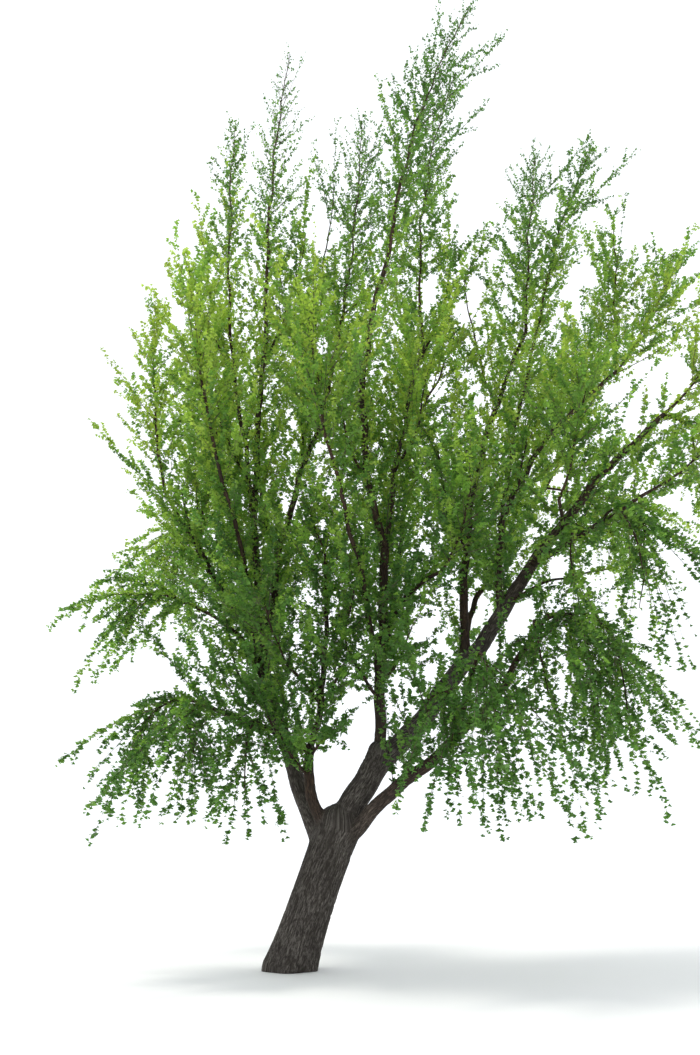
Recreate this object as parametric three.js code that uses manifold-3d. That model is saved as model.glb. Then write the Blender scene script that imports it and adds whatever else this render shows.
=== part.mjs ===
// A mature ginkgo tree in fresh leaf, in millimetres, +Z up, its origin at the middle of the flat cut
// at ground level. The trunk leans to +X and forks low into leaders and boughs. Each limb is one arc:
// it starts on the limb that carries it, ends its reach away, and swings off the straight line by its
// bow half way along. Each mass of foliage is a stem of the same form, with shoots set round it and
// leaves on the shoots. A leaf here stands for a whole spray, so it is larger than life.
import * as THREE from "three";
import { mergeVertices } from "three/addons/utils/BufferGeometryUtils.js";
import Module from "manifold-3d";

const wasm = await Module();
wasm.setup();

// The trunk: where its axis goes, its waist, and how far the root flare and the fork swell it
const TRUNK_REACH = [750, -50, 2100];
const TRUNK_BOW = [-20, 20, 0];
const TRUNK_WAIST = 355;
const FORK_SWELL = 25;
const FLARE = 75;
const FLARE_HEIGHT = 450;
const FLARE_LOBES = 5;
const FLARE_LOBE_DEPTH = 0.35;
const TRUNK_SIDES = 20;
const TRUNK_STEPS = 7;

// Limbs: name, what carries it, how far up that, reach, bow, radius at the foot and at the tip
const LIMBS = [
  ["main_stem", "trunk", 1, [700, -150, 1200], [60, -10, -10], 240, 205],
  ["grey_stem", "trunk", 0.78, [-1250, 450, 3250], [-50, 100, -40], 165, 110],
  ["left_stem", "trunk", 0.9, [-400, -250, 1500], [-150, -60, -40], 110, 82],
  ["low_right_bough", "trunk", 0.8, [2600, -1350, 2200], [-30, -20, 0], 140, 70],
  ["right_bough", "main_stem", 0.72, [2750, -200, 3300], [80, -20, -90], 185, 125],
  ["centre_leader", "main_stem", 1, [150, -200, 3650], [-20, 10, 0], 105, 82],
  ["low_left_bough", "left_stem", 0.96, [-1700, -600, 650], [0, 60, 30], 60, 34],
  ["inner_left_stem", "left_stem", 1, [250, -350, 2250], [90, 10, -80], 64, 40],
  ["left_leader", "grey_stem", 1, [-150, -650, 6850], [-190, 90, 0], 80, 48],
  ["inner_leader", "grey_stem", 0.93, [900, 550, 5700], [-250, -60, 0], 80, 50],
  ["far_left_bough", "left_leader", 0.06, [-1850, -900, 2800], [-20, -130, -60], 48, 32],
  ["second_left_leader", "left_leader", 0.42, [-550, -1000, 3700], [0, 80, 20], 50, 34],
  ["tall_leader", "centre_leader", 1, [150, -700, 6250], [-480, 40, -100], 78, 46],
  ["centre_right_leader", "centre_leader", 0.95, [950, 650, 5150], [-100, 10, 20], 56, 36],
  ["centre_side_bough", "centre_leader", 0.52, [1000, -950, 1000], [-120, 90, 140], 48, 32],
  ["upright_leader", "right_bough", 0.6, [2000, 1390, 8000], [-480, 230, -110], 88, 42],
  ["right_leader", "right_bough", 0.86, [2710, 40, 5130], [-780, 330, 160], 70, 40],
  ["right_bough_end", "right_bough", 1, [2850, -750, 3150], [-110, -40, 90], 118, 44],
  ["slim_leader", "right_leader", 0.33, [1300, 400, 5100], [-60, 260, -20], 46, 30],
  ["drooping_bough", "right_bough_end", 0.1, [1200, -1250, 450], [-180, -40, -90], 66, 40],
  ["hanging_bough", "low_right_bough", 1, [1100, 200, 1550], [0, -20, 0], 62, 42],
  ["back_left_bough", "grey_stem", 0.72, [-1650, 2450, 4950], [30, 160, -70], 62, 40],
  ["back_bough", "centre_leader", 0.3, [900, 3050, 6200], [50, 210, -110], 60, 36],
  ["back_right_bough", "right_bough", 0.55, [2700, 3100, 5000], [-380, 250, -90], 64, 40],
  ["front_left_bough", "left_leader", 0.16, [-600, -2350, 2200], [30, -100, -100], 50, 32],
  ["mid_left_bough", "grey_stem", 0.96, [-1300, -400, 1200], [110, 40, 130], 46, 30],
  ["front_right_bough", "right_bough_end", 0.3, [-300, -1200, 50], [80, 200, -370], 46, 30],
  ["low_centre_bough", "low_right_bough", 0.42, [550, -1150, 1300], [110, 60, 0], 42, 30],
  ["low_front_bough", "low_right_bough", 0.82, [150, -1000, 850], [0, -60, 100], 42, 32],
  ["front_bough", "centre_leader", 0.42, [-700, -2150, 2550], [10, -10, -10], 52, 34],
];

const LIMB_SIDES = [{ over: 150, sides: 12 }, { over: 70, sides: 8 }, { over: 0, sides: 6 }];
const LIMB_STEP = 1100; // about the length of a straight stretch of a limb
const FEWEST_LIMB_STEPS = 2;

// Masses: name, the bough whose tip its stem grows from, the stem's reach and bow, how far shoots
// spread from the stem, how much they turn up (or hang, below zero), and how many there are
const MASSES = [
  ["left_spire", "left_leader", [300, -350, 8200], [-160, -40, 0], 850, 0.2, 11],
  ["second_left_spire", "second_left_leader", [-150, -350, 5400], [-40, -100, 0], 750, 0.2, 8],
  ["inner_spire", "inner_leader", [950, -650, 8400], [180, 80, -40], 1300, 0.2, 10],
  ["tall_spire", "tall_leader", [2000, -400, 7000], [-290, -50, 80], 1050, 0.2, 10],
  ["centre_right_spire", "centre_right_leader", [1000, -750, 7500], [-350, 180, 210], 950, 0.2, 10],
  ["upright_spire", "upright_leader", [750, 100, 5600], [-40, 40, 0], 1150, 0.2, 9],
  ["slim_spire", "slim_leader", [1650, -350, 4800], [-160, 0, 50], 850, 0.2, 8],
  ["right_crest", "right_leader", [400, -200, 4000], [20, 0, -10], 950, 0.2, 7],
  ["right_upper", "right_leader", [1300, -600, 2400], [130, 50, -60], 1100, 0.15, 6],
  ["right_end", "right_bough_end", [1250, -250, 1550], [60, -60, -80], 1250, 0.1, 7],
  ["right_end_low", "right_bough_end", [1050, 250, -900], [190, 70, 150], 1200, -0.15, 6],
  ["drooping", "drooping_bough", [0, -500, -1800], [300, -100, 450], 1050, -0.4, 8],
  ["hanging_outer", "hanging_bough", [750, 300, -2000], [300, 60, 700], 1100, -0.4, 8],
  ["hanging_inner", "low_front_bough", [200, -500, -1500], [0, -350, 650], 1150, -0.4, 8],
  ["low_left_outer", "low_left_bough", [-1050, -400, -900], [-200, -100, 350], 900, -0.35, 7],
  ["low_left_inner", "low_left_bough", [100, -1000, -1050], [-150, -300, 200], 950, -0.35, 7],
  ["mid_left", "mid_left_bough", [-1150, -350, -250], [-300, -60, 300], 1000, -0.1, 8],
  ["far_left_high", "far_left_bough", [-450, -300, 4050], [-120, -50, 0], 800, 0.2, 8],
  ["front_left", "front_left_bough", [-700, -200, 3850], [-30, -90, -20], 1050, 0.2, 8],
  ["inner_left", "inner_left_stem", [-450, -850, 2000], [150, -40, 10], 1300, 0.1, 8],
  ["front", "front_bough", [-500, 0, 3650], [-130, -100, -30], 1350, 0.2, 8],
  ["centre_front", "centre_side_bough", [400, -850, 2100], [210, -210, -200], 1350, 0.1, 8],
  ["front_right", "front_right_bough", [550, -500, 2600], [110, -210, -70], 1350, 0.1, 8],
  ["low_centre", "low_centre_bough", [200, -750, -900], [150, -200, 350], 950, -0.35, 7],
  ["back_left", "back_left_bough", [-900, 300, 5800], [-130, 260, -40], 1400, 0.2, 8],
  ["back_left_low", "back_left_bough", [-1200, 400, -1400], [-300, 190, 500], 1250, -0.1, 7],
  ["back", "back_bough", [400, 300, 5900], [20, 280, -30], 1400, 0.2, 8],
  ["back_right", "back_right_bough", [1700, 200, 4900], [240, 210, -90], 1450, 0.2, 8],
  ["back_right_low", "back_right_bough", [1500, 200, -1500], [450, 230, 450], 1350, -0.15, 8],
];

// How a mass grows
const SEED = 1913;
const SEED_STEP = 101; // from one mass's seed to the next
const GOLDEN_ANGLE = 2.39996;
const STEM_SHARE = 0.85; // a mass's stem against its bough's tip
const FORK_STEM_SHARE = 0.42; // the same where two masses share the tip
const STEM_TIP_RADIUS = 9;
const STEM_STEP = 1300; // about the length of a straight stretch of a stem
const FEWEST_STEM_STEPS = 4;
const STEM_SIDES = 4;
const FIRST_SHOOT = 0.1; // how far up the stem the first shoot stands
const SHOOT_STRAY = 0.9; // how far a shoot may stand past its even place, against their spacing
const TURN_STRAY = 0.6; // how far it may turn past the golden angle, in radians
const SHORTEST_SPREAD = 0.8; // a shoot reaches at least this share of the mass's width there,
const SPREAD_STRAY = 0.3; // and up to so much more
const WIDE_ANGLE = 0.95; // between shoot and stem at the stem's foot, in radians
const NARROW_ANGLE = 0.55; // the same at its tip
const TOP_WIDTH = 0.14; // how wide the mass is at its tip, against its spread
const LONGEST_SHOOT = 1.25; // against the spread
const SWEEP = 0.3; // high in the tree, shoots towards +X are longer by up to this share of their
const CALM_HEIGHT = 10000; // length and those towards -X shorter: not at all up to this height,
const SWEPT_HEIGHT = 14000; // and fully from this one up
const SHORTENINGS = [1, 0.7, 0.45]; // a shoot without room is tried shorter, then left out
const TWIG_FOOT_RADIUS = 16; // at most, and at most the next share of its stem's
const TWIG_SHARE = 0.7;
const TWIG_TIP_RADIUS = 6;
const TWIG_SIDES = 3;
const LEAF_PLACES = [0.45, 0.72, 1]; // along each shoot; the last leaf ends the shoot
const SHORT_SHOOT = 850; // a shoot shorter than this goes without its first leaf
const LEAF_SHARE = 0.62; // a leaf's length against its shoot's
const LONGEST_LEAF = 950;
const SHORTEST_LEAF = 330;
const LEAF_WIDTH = 0.66; // against its length, as the next three
const LEAF_NOTCH = 0.8;
const LEAF_BELLY = 0.55;
const LEAF_THICKNESS = 0.035;
const SIDE_LEAF_SHARE = 0.85; // of that for the leaves at a shoot's sides
const LEAF_ROOT = 2; // how deep a side leaf starts behind its twig's axis
const END_LEAF_ROOT = 12; // the same behind its tip for the last leaf
const LEAF_SLANT = 1; // how far side leaves turn off their shoot
const LEAF_TESTS_ALONG = [0.3, 0.5, 0.7, 0.85, 1]; // where a leaf's room is tested, by its length
const LEAF_TESTS_ACROSS = [-1, -0.5, 0, 0.5, 1]; // and by its half width there

// Clearances
const FIT_GAP = 0.3;
const LIMB_CLEARANCE = 80;
const SPACE_MARGIN = 60;
const MASS_SMOOTHING = 0.25; // how far a needless corner may lie from the surface left without it
const LIMB_SMOOTHING = 0.01;
const ARC_SAMPLES = 14;
const STRAIGHT = 1e-3; // an arc with less bow than this, against its length, has no plane of its own
const SIDEWAYS = new THREE.Vector3(0, 1, 0.2); // and takes the plane that holds this direction

const BARK_COLOR = 0x6d6459;
const BARK_ROUGHNESS = 0.95;
const LEAF_COLORS = [0x7fae35, 0x6c9f31, 0x8dbb3f, 0x5d8f2c];
const LEAF_ROUGHNESS = 0.7;

// Seeded numbers between 0 and 1
function seededRandom(seed) {
  let state = seed >>> 0;
  return () => {
    state = (state + 0x6d2b79f5) >>> 0;
    let mixed = Math.imul(state ^ (state >>> 15), state | 1);
    mixed ^= mixed + Math.imul(mixed ^ (mixed >>> 7), mixed | 61);
    return ((mixed ^ (mixed >>> 14)) >>> 0) / 4294967296;
  };
}

// Arcs
function makeArc(foot, reach, bow, radiusAt) {
  const arc = { foot, reach: new THREE.Vector3(...reach), bow: new THREE.Vector3(...bow), radiusAt };
  arc.across = arc.reach.clone().cross(arc.bow);
  if (arc.across.length() < STRAIGHT * arc.reach.lengthSq()) {
    arc.across = arc.reach.clone().cross(SIDEWAYS);
  }
  arc.across.normalize();
  arc.points = [];
  for (let i = 0; i <= ARC_SAMPLES; i += 1) {
    arc.points.push(arcPoint(arc, i / ARC_SAMPLES));
  }
  return arc;
}

function arcPoint(arc, share) {
  const swing = 4 * share * (1 - share);
  return arc.foot.clone().addScaledVector(arc.reach, share).addScaledVector(arc.bow, swing);
}

// A point on the straight stretches that a bar of so many steps has in place of its arc
function barPoint(arc, steps, share) {
  const step = Math.min(steps - 1, Math.floor(share * steps));
  return arcPoint(arc, step / steps).lerp(arcPoint(arc, (step + 1) / steps), share * steps - step);
}

// About how long an arc is, from its legs to the point half way along
function arcLength(arc) {
  return 2 * arcPoint(arc, 0.5).distanceTo(arc.foot);
}

function arcDirection(arc, share) {
  return arc.reach.clone().addScaledVector(arc.bow, 4 * (1 - 2 * share)).normalize();
}

function taper(foot, tip) {
  return (share) => tip + (foot - tip) * (1 - share);
}

// The distance from a point to an arc's axis, less the arc's own radius there
function depthOutside(point, arc) {
  const stretch = new THREE.Line3();
  const nearest = new THREE.Vector3();
  let least = Infinity;
  for (let i = 0; i < ARC_SAMPLES; i += 1) {
    stretch.set(arc.points[i], arc.points[i + 1]);
    stretch.closestPointToPoint(point, true, nearest);
    least = Math.min(least, nearest.distanceTo(point) - arc.radiusAt(i / ARC_SAMPLES));
  }
  return least;
}

// Solids
function solidOf(geometry) {
  geometry.deleteAttribute("normal");
  geometry.deleteAttribute("uv");
  const merged = mergeVertices(geometry, 1e-3);
  return new wasm.Manifold(
    new wasm.Mesh({
      numProp: 3,
      vertProperties: new Float32Array(merged.attributes.position.array),
      triVerts: new Uint32Array(merged.index.array),
    }),
  );
}

// The outer skin of the largest piece, so scraps and sealed hollows go, without needless corners
function tidied(solid, smoothing) {
  const pieces = solid.decompose();
  const largest = pieces.reduce((most, piece) => (piece.volume() > most.volume() ? piece : most));
  return largest.asOriginal().simplify(smoothing);
}

function meshOf(name, solid, color, roughness) {
  const { vertProperties, triVerts } = solid.getMesh();
  const geometry = new THREE.BufferGeometry();
  geometry.setAttribute("position", new THREE.BufferAttribute(vertProperties, 3));
  geometry.setIndex(new THREE.BufferAttribute(triVerts, 1));
  geometry.computeVertexNormals();
  const material = new THREE.MeshStandardMaterial({ color, roughness, metalness: 0 });
  const mesh = new THREE.Mesh(geometry, material);
  mesh.name = name;
  return mesh;
}

// A round bar bent onto an arc; swollen is how much larger it is made all round
function barAlong(arc, sides, steps, swollen = 0) {
  const bar = new THREE.CylinderGeometry(1, 1, 1, sides, steps);
  const places = bar.attributes.position;
  const grown = swollen / Math.cos(Math.PI / sides);
  for (let i = 0; i < places.count; i += 1) {
    const share = places.getY(i) + 0.5;
    const along = ringNormal(arc, share);
    const across = arc.across.clone().addScaledVector(along, -arc.across.dot(along)).normalize();
    const over = across.clone().cross(along);
    const turn = Math.atan2(places.getX(i), places.getZ(i));
    const radius = arc.radiusAt(share, turn) + grown;
    const place = arcPoint(arc, share)
      .addScaledVector(across, places.getX(i) * radius)
      .addScaledVector(over, places.getZ(i) * radius);
    if (share === 0) place.addScaledVector(along, -swollen);
    if (share === 1) place.addScaledVector(along, swollen);
    places.setXYZ(i, place.x, place.y, place.z);
  }
  return solidOf(bar);
}

// Rings stand square to the arc, but lie level all the way up the trunk and flat on a carrier's end
function ringNormal(arc, share) {
  if (arc.level) return new THREE.Vector3(0, 0, 1);
  if (share === 0 && arc.footNormal) return arc.footNormal.clone();
  return arcDirection(arc, share);
}

// The trunk and the limbs
function trunkRadius(share, turn = 0) {
  const flare = FLARE * Math.exp((-share * TRUNK_REACH[2]) / FLARE_HEIGHT);
  const lobes = 1 + FLARE_LOBE_DEPTH * Math.cos(FLARE_LOBES * turn);
  return TRUNK_WAIST + flare * lobes + FORK_SWELL * share ** 4;
}

function makeTrunk() {
  const arc = makeArc(new THREE.Vector3(0, 0, 0), TRUNK_REACH, TRUNK_BOW, trunkRadius);
  arc.level = true;
  arc.across = new THREE.Vector3(1, 0, 0);
  return { name: "trunk", arc, sides: TRUNK_SIDES, steps: TRUNK_STEPS };
}

function makeLimb(limbs, [name, carrier, at, reach, bow, footRadius, tipRadius]) {
  const parent = limbs.get(carrier).arc;
  const foot = arcPoint(parent, at);
  const endsParent = at === 1;
  const normal = ringNormal(parent, 1);
  if (endsParent) foot.addScaledVector(normal, FIT_GAP);
  const arc = makeArc(foot, reach, bow, taper(footRadius, tipRadius));
  if (endsParent) arc.footNormal = normal;
  const sides = LIMB_SIDES.find((form) => footRadius > form.over).sides;
  const steps = Math.max(FEWEST_LIMB_STEPS, Math.round(arc.reach.length() / LIMB_STEP));
  return { name, arc, sides, steps, tipRadius };
}

// Each limb is cut clear of the trunk and of every limb made before it
function limbSolids(limbs) {
  const solids = new Map();
  const swollen = [];
  for (const limb of limbs.values()) {
    let solid = barAlong(limb.arc, limb.sides, limb.steps);
    for (const earlier of swollen) {
      solid = solid.subtract(earlier);
    }
    solids.set(limb.name, tidied(solid, LIMB_SMOOTHING));
    swollen.push(barAlong(limb.arc, limb.sides, limb.steps, FIT_GAP));
  }
  return solids;
}

// Masses of foliage: their stems first, because each keeps to its own side of its neighbours
function makeStem(limbs, mass, index) {
  const [name, carrier, reach, bow, spread, lift, shoots] = mass;
  const bough = limbs.get(carrier);
  const normal = ringNormal(bough.arc, 1);
  const foot = arcPoint(bough.arc, 1).addScaledVector(normal, FIT_GAP);
  const twin = MASSES.find((other) => other[1] === carrier && other !== mass);
  const share = twin ? FORK_STEM_SHARE : STEM_SHARE;
  if (twin) {
    const apart = new THREE.Vector3(...reach).normalize();
    apart.sub(new THREE.Vector3(...twin[2]).normalize());
    apart.addScaledVector(normal, -apart.dot(normal)).normalize();
    foot.addScaledVector(apart, bough.tipRadius / 2);
  }
  const arc = makeArc(foot, reach, bow, taper(share * bough.tipRadius, STEM_TIP_RADIUS));
  arc.footNormal = normal;
  const steps = Math.max(FEWEST_STEM_STEPS, Math.round(arcLength(arc) / STEM_STEP));
  return { name, arc, steps, spread, lift, shoots, index };
}

// The mass's half width along its stem, against its spread
function widthAlong(share) {
  return TOP_WIDTH + (1 - TOP_WIDTH) * Math.sin(Math.PI * Math.sqrt(share));
}

function sweepAt(height) {
  return SWEEP * THREE.MathUtils.smoothstep(height, CALM_HEIGHT, SWEPT_HEIGHT);
}

function shootsOf(stem, hasRoomFor) {
  const random = seededRandom(SEED + SEED_STEP * stem.index);
  const shoots = [];
  for (let i = 0; i < stem.shoots; i += 1) {
    const share = FIRST_SHOOT + ((1 - FIRST_SHOOT) * (i + SHOOT_STRAY * random())) / stem.shoots;
    const along = arcDirection(stem.arc, share);
    const across = stem.arc.across.clone().addScaledVector(along, -stem.arc.across.dot(along));
    across.normalize();
    const turn = i * GOLDEN_ANGLE + TURN_STRAY * random();
    const outward = across.applyAxisAngle(along, turn);
    const angle = WIDE_ANGLE + (NARROW_ANGLE - WIDE_ANGLE) * share;
    const foot = barPoint(stem.arc, stem.steps, share);
    const wide = stem.spread * widthAlong(share) * (SHORTEST_SPREAD + SPREAD_STRAY * random());
    const even = Math.min(wide / Math.sin(angle), LONGEST_SHOOT * stem.spread);
    const length = even * (1 + sweepAt(foot.z) * outward.x);
    const reach = along.multiplyScalar(Math.cos(angle)).addScaledVector(outward, Math.sin(angle));
    reach.z += stem.lift;
    const roll = 2 * Math.PI * random();
    const footRadius = Math.min(TWIG_FOOT_RADIUS, TWIG_SHARE * stem.arc.radiusAt(share));
    for (const kept of SHORTENINGS) {
      const shoot = makeShoot(foot, reach, kept * length, footRadius, roll);
      if (!hasRoomFor(shoot.points.slice(1))) continue;
      shoots.push(shoot);
      break;
    }
  }
  return shoots;
}

// A shoot is an arc without a bow, rolled about itself
function makeShoot(foot, heading, length, footRadius, roll) {
  const reach = heading.clone().multiplyScalar(length);
  const arc = makeArc(foot, reach.toArray(), [0, 0, 0], taper(footRadius, TWIG_TIP_RADIUS));
  arc.across.applyAxisAngle(arcDirection(arc, 0), roll);
  return arc;
}

// Where each leaf of a shoot starts, which way it points and which way it faces. Side leaves leave
// through the middles of the twig's three sides in turn, and the last one carries on from its tip.
function leavesOf(shoot) {
  const along = arcDirection(shoot, 0);
  const over = shoot.across.clone().cross(along);
  const shootLength = shoot.reach.length();
  const places = shootLength < SHORT_SHOOT ? LEAF_PLACES.slice(1) : LEAF_PLACES;
  return places.map((share, i) => {
    const turn = (Math.PI * (1 + 2 * i)) / TWIG_SIDES;
    const sideways = shoot.across.clone().multiplyScalar(Math.sin(turn));
    sideways.addScaledVector(over, Math.cos(turn));
    const isEnd = share === 1;
    const forward = along.clone().addScaledVector(sideways, isEnd ? 0 : LEAF_SLANT).normalize();
    const facing = along.clone().cross(sideways);
    const wanted = LEAF_SHARE * shootLength * (isEnd ? 1 : SIDE_LEAF_SHARE);
    const length = Math.min(LONGEST_LEAF, Math.max(SHORTEST_LEAF, wanted));
    const sunk = isEnd ? END_LEAF_ROOT : LEAF_ROOT;
    const root = arcPoint(shoot, share).addScaledVector(forward, -sunk);
    return { root, forward, facing, length };
  });
}

// A fan: an octahedron drawn out to a root, two corners with a notch between them, and two bellies
function leafGeometry(leaf) {
  const geometry = new THREE.OctahedronGeometry(1);
  const places = geometry.attributes.position;
  for (let i = 0; i < places.count; i += 1) {
    const side = Math.round(places.getX(i));
    const end = Math.round(places.getY(i));
    const face = Math.round(places.getZ(i));
    let forward = 0;
    if (side) forward = 1;
    if (face) forward = LEAF_BELLY;
    if (end > 0) forward = LEAF_NOTCH;
    const width = (side * LEAF_WIDTH) / 2;
    const thickness = (face * LEAF_THICKNESS) / 2;
    places.setXYZ(i, width * leaf.length, forward * leaf.length, thickness * leaf.length);
  }
  const side = leaf.forward.clone().cross(leaf.facing);
  const place = new THREE.Matrix4().makeBasis(side, leaf.forward, leaf.facing);
  return geometry.applyMatrix4(place.setPosition(leaf.root));
}

// Points spread over a leaf and along a twig, for the test of its room
function leafPoints(leaf) {
  const side = leaf.forward.clone().cross(leaf.facing);
  const points = [];
  for (const reach of LEAF_TESTS_ALONG) {
    for (const turn of LEAF_TESTS_ACROSS) {
      const across = (turn * reach * LEAF_WIDTH * leaf.length) / 2;
      const point = leaf.root.clone().addScaledVector(leaf.forward, reach * leaf.length);
      points.push(point.addScaledVector(side, across));
    }
  }
  return points;
}

function hasRoom(points, stem, stems, limbs) {
  return points.every((point) => {
    const own = depthOutside(point, stem.arc);
    const inSpace = stems.every(
      (other) => other === stem || depthOutside(point, other.arc) > own + SPACE_MARGIN,
    );
    if (!inSpace) return false;
    return [...limbs.values()].every((limb) => depthOutside(point, limb.arc) > LIMB_CLEARANCE);
  });
}

function massSolid(stem, stems, limbs) {
  const hasRoomFor = (points) => hasRoom(points, stem, stems, limbs);
  let solid = barAlong(stem.arc, STEM_SIDES, stem.steps);
  for (const shoot of shootsOf(stem, hasRoomFor)) {
    let spray = barAlong(shoot, TWIG_SIDES, 1);
    for (const leaf of leavesOf(shoot)) {
      if (hasRoomFor(leafPoints(leaf))) spray = spray.add(solidOf(leafGeometry(leaf)));
    }
    solid = solid.add(spray);
  }
  return tidied(solid, MASS_SMOOTHING);
}

// The whole tree
const limbs = new Map([["trunk", makeTrunk()]]);
for (const row of LIMBS) {
  const limb = makeLimb(limbs, row);
  limbs.set(limb.name, limb);
}
const stems = MASSES.map((mass, index) => makeStem(limbs, mass, index));

const group = new THREE.Group();
for (const [name, solid] of limbSolids(limbs)) {
  group.add(meshOf(name, solid, BARK_COLOR, BARK_ROUGHNESS));
}
for (const stem of stems) {
  const color = LEAF_COLORS[stem.index % LEAF_COLORS.length];
  group.add(meshOf(stem.name, massSolid(stem, stems, limbs), color, LEAF_ROUGHNESS));
}

export default group;
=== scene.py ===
"""A mature ginkgo tree in fresh leaf, grown on from its packed limbs. Metres, +Z up.

The limbs and the stems of the foliage are the source's arcs. Branches, shoots, twigs, spurs and
leaves grow on them by the source's rule, carried further.
"""
import math
from collections import namedtuple

import bpy
import numpy as np
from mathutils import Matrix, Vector


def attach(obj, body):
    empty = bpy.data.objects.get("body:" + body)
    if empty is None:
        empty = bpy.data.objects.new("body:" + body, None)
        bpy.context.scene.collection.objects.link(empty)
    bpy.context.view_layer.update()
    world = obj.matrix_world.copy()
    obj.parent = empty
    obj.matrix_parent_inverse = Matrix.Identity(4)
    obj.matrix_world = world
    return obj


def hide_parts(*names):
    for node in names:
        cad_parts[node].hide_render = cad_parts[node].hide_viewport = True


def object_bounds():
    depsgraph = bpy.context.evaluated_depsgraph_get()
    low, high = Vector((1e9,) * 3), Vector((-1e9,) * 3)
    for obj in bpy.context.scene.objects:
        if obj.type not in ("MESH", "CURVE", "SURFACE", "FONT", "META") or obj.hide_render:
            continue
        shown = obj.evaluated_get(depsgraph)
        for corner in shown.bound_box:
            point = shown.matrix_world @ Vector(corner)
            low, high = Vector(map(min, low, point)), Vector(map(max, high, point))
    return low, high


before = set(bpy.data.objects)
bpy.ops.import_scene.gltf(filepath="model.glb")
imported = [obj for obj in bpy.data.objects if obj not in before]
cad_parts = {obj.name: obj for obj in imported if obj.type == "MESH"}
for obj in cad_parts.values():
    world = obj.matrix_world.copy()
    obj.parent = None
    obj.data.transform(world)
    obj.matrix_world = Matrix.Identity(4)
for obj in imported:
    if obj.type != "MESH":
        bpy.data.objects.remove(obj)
cad_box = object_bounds()

# Limbs: name, what carries it, how far up that, reach, bow, radius at the foot and at the tip
LIMBS = [
    ("main_stem", "trunk", 1, (0.7, -0.15, 1.2), (0.06, -0.01, -0.01), 0.24, 0.205),
    ("grey_stem", "trunk", 0.78, (-1.25, 0.45, 3.25), (-0.05, 0.1, -0.04), 0.165, 0.11),
    ("left_stem", "trunk", 0.9, (-0.4, -0.25, 1.5), (-0.15, -0.06, -0.04), 0.11, 0.082),
    ("low_right_bough", "trunk", 0.8, (2.6, -1.35, 2.2), (-0.03, -0.02, 0), 0.14, 0.07),
    ("right_bough", "main_stem", 0.72, (2.75, -0.2, 3.3), (0.08, -0.02, -0.09), 0.185, 0.125),
    ("centre_leader", "main_stem", 1, (0.15, -0.2, 3.65), (-0.02, 0.01, 0), 0.105, 0.082),
    ("low_left_bough", "left_stem", 0.96, (-1.7, -0.6, 0.65), (0, 0.06, 0.03), 0.06, 0.034),
    ("inner_left_stem", "left_stem", 1, (0.25, -0.35, 2.25), (0.09, 0.01, -0.08), 0.064, 0.04),
    ("left_leader", "grey_stem", 1, (-0.15, -0.65, 6.85), (-0.19, 0.09, 0), 0.08, 0.048),
    ("inner_leader", "grey_stem", 0.93, (0.9, 0.55, 5.7), (-0.25, -0.06, 0), 0.08, 0.05),
    ("far_left_bough", "left_leader", 0.06, (-1.85, -0.9, 2.8), (-0.02, -0.13, -0.06), 0.048, 0.032),
    ("second_left_leader", "left_leader", 0.42, (-0.55, -1, 3.7), (0, 0.08, 0.02), 0.05, 0.034),
    ("tall_leader", "centre_leader", 1, (0.15, -0.7, 6.25), (-0.48, 0.04, -0.1), 0.078, 0.046),
    ("centre_right_leader", "centre_leader", 0.95, (0.95, 0.65, 5.15), (-0.1, 0.01, 0.02), 0.056, 0.036),
    ("centre_side_bough", "centre_leader", 0.52, (1, -0.95, 1), (-0.12, 0.09, 0.14), 0.048, 0.032),
    ("upright_leader", "right_bough", 0.6, (2, 1.39, 8), (-0.48, 0.23, -0.11), 0.088, 0.042),
    ("right_leader", "right_bough", 0.86, (2.71, 0.04, 5.13), (-0.78, 0.33, 0.16), 0.07, 0.04),
    ("right_bough_end", "right_bough", 1, (2.85, -0.75, 3.15), (-0.11, -0.04, 0.09), 0.118, 0.044),
    ("slim_leader", "right_leader", 0.33, (1.3, 0.4, 5.1), (-0.06, 0.26, -0.02), 0.046, 0.03),
    ("drooping_bough", "right_bough_end", 0.1, (1.2, -1.25, 0.45), (-0.18, -0.04, -0.09), 0.066, 0.04),
    ("hanging_bough", "low_right_bough", 1, (1.1, 0.2, 1.55), (0, -0.02, 0), 0.062, 0.042),
    ("back_left_bough", "grey_stem", 0.72, (-1.65, 2.45, 4.95), (0.03, 0.16, -0.07), 0.062, 0.04),
    ("back_bough", "centre_leader", 0.3, (0.9, 3.05, 6.2), (0.05, 0.21, -0.11), 0.06, 0.036),
    ("back_right_bough", "right_bough", 0.55, (2.7, 3.1, 5), (-0.38, 0.25, -0.09), 0.064, 0.04),
    ("front_left_bough", "left_leader", 0.16, (-0.6, -2.35, 2.2), (0.03, -0.1, -0.1), 0.05, 0.032),
    ("mid_left_bough", "grey_stem", 0.96, (-1.3, -0.4, 1.2), (0.11, 0.04, 0.13), 0.046, 0.03),
    ("front_right_bough", "right_bough_end", 0.3, (-0.3, -1.2, 0.05), (0.08, 0.2, -0.37), 0.046, 0.03),
    ("low_centre_bough", "low_right_bough", 0.42, (0.55, -1.15, 1.3), (0.11, 0.06, 0), 0.042, 0.03),
    ("low_front_bough", "low_right_bough", 0.82, (0.15, -1, 0.85), (0, -0.06, 0.1), 0.042, 0.032),
    ("front_bough", "centre_leader", 0.42, (-0.7, -2.15, 2.55), (0.01, -0.01, -0.01), 0.052, 0.034),
]

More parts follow.
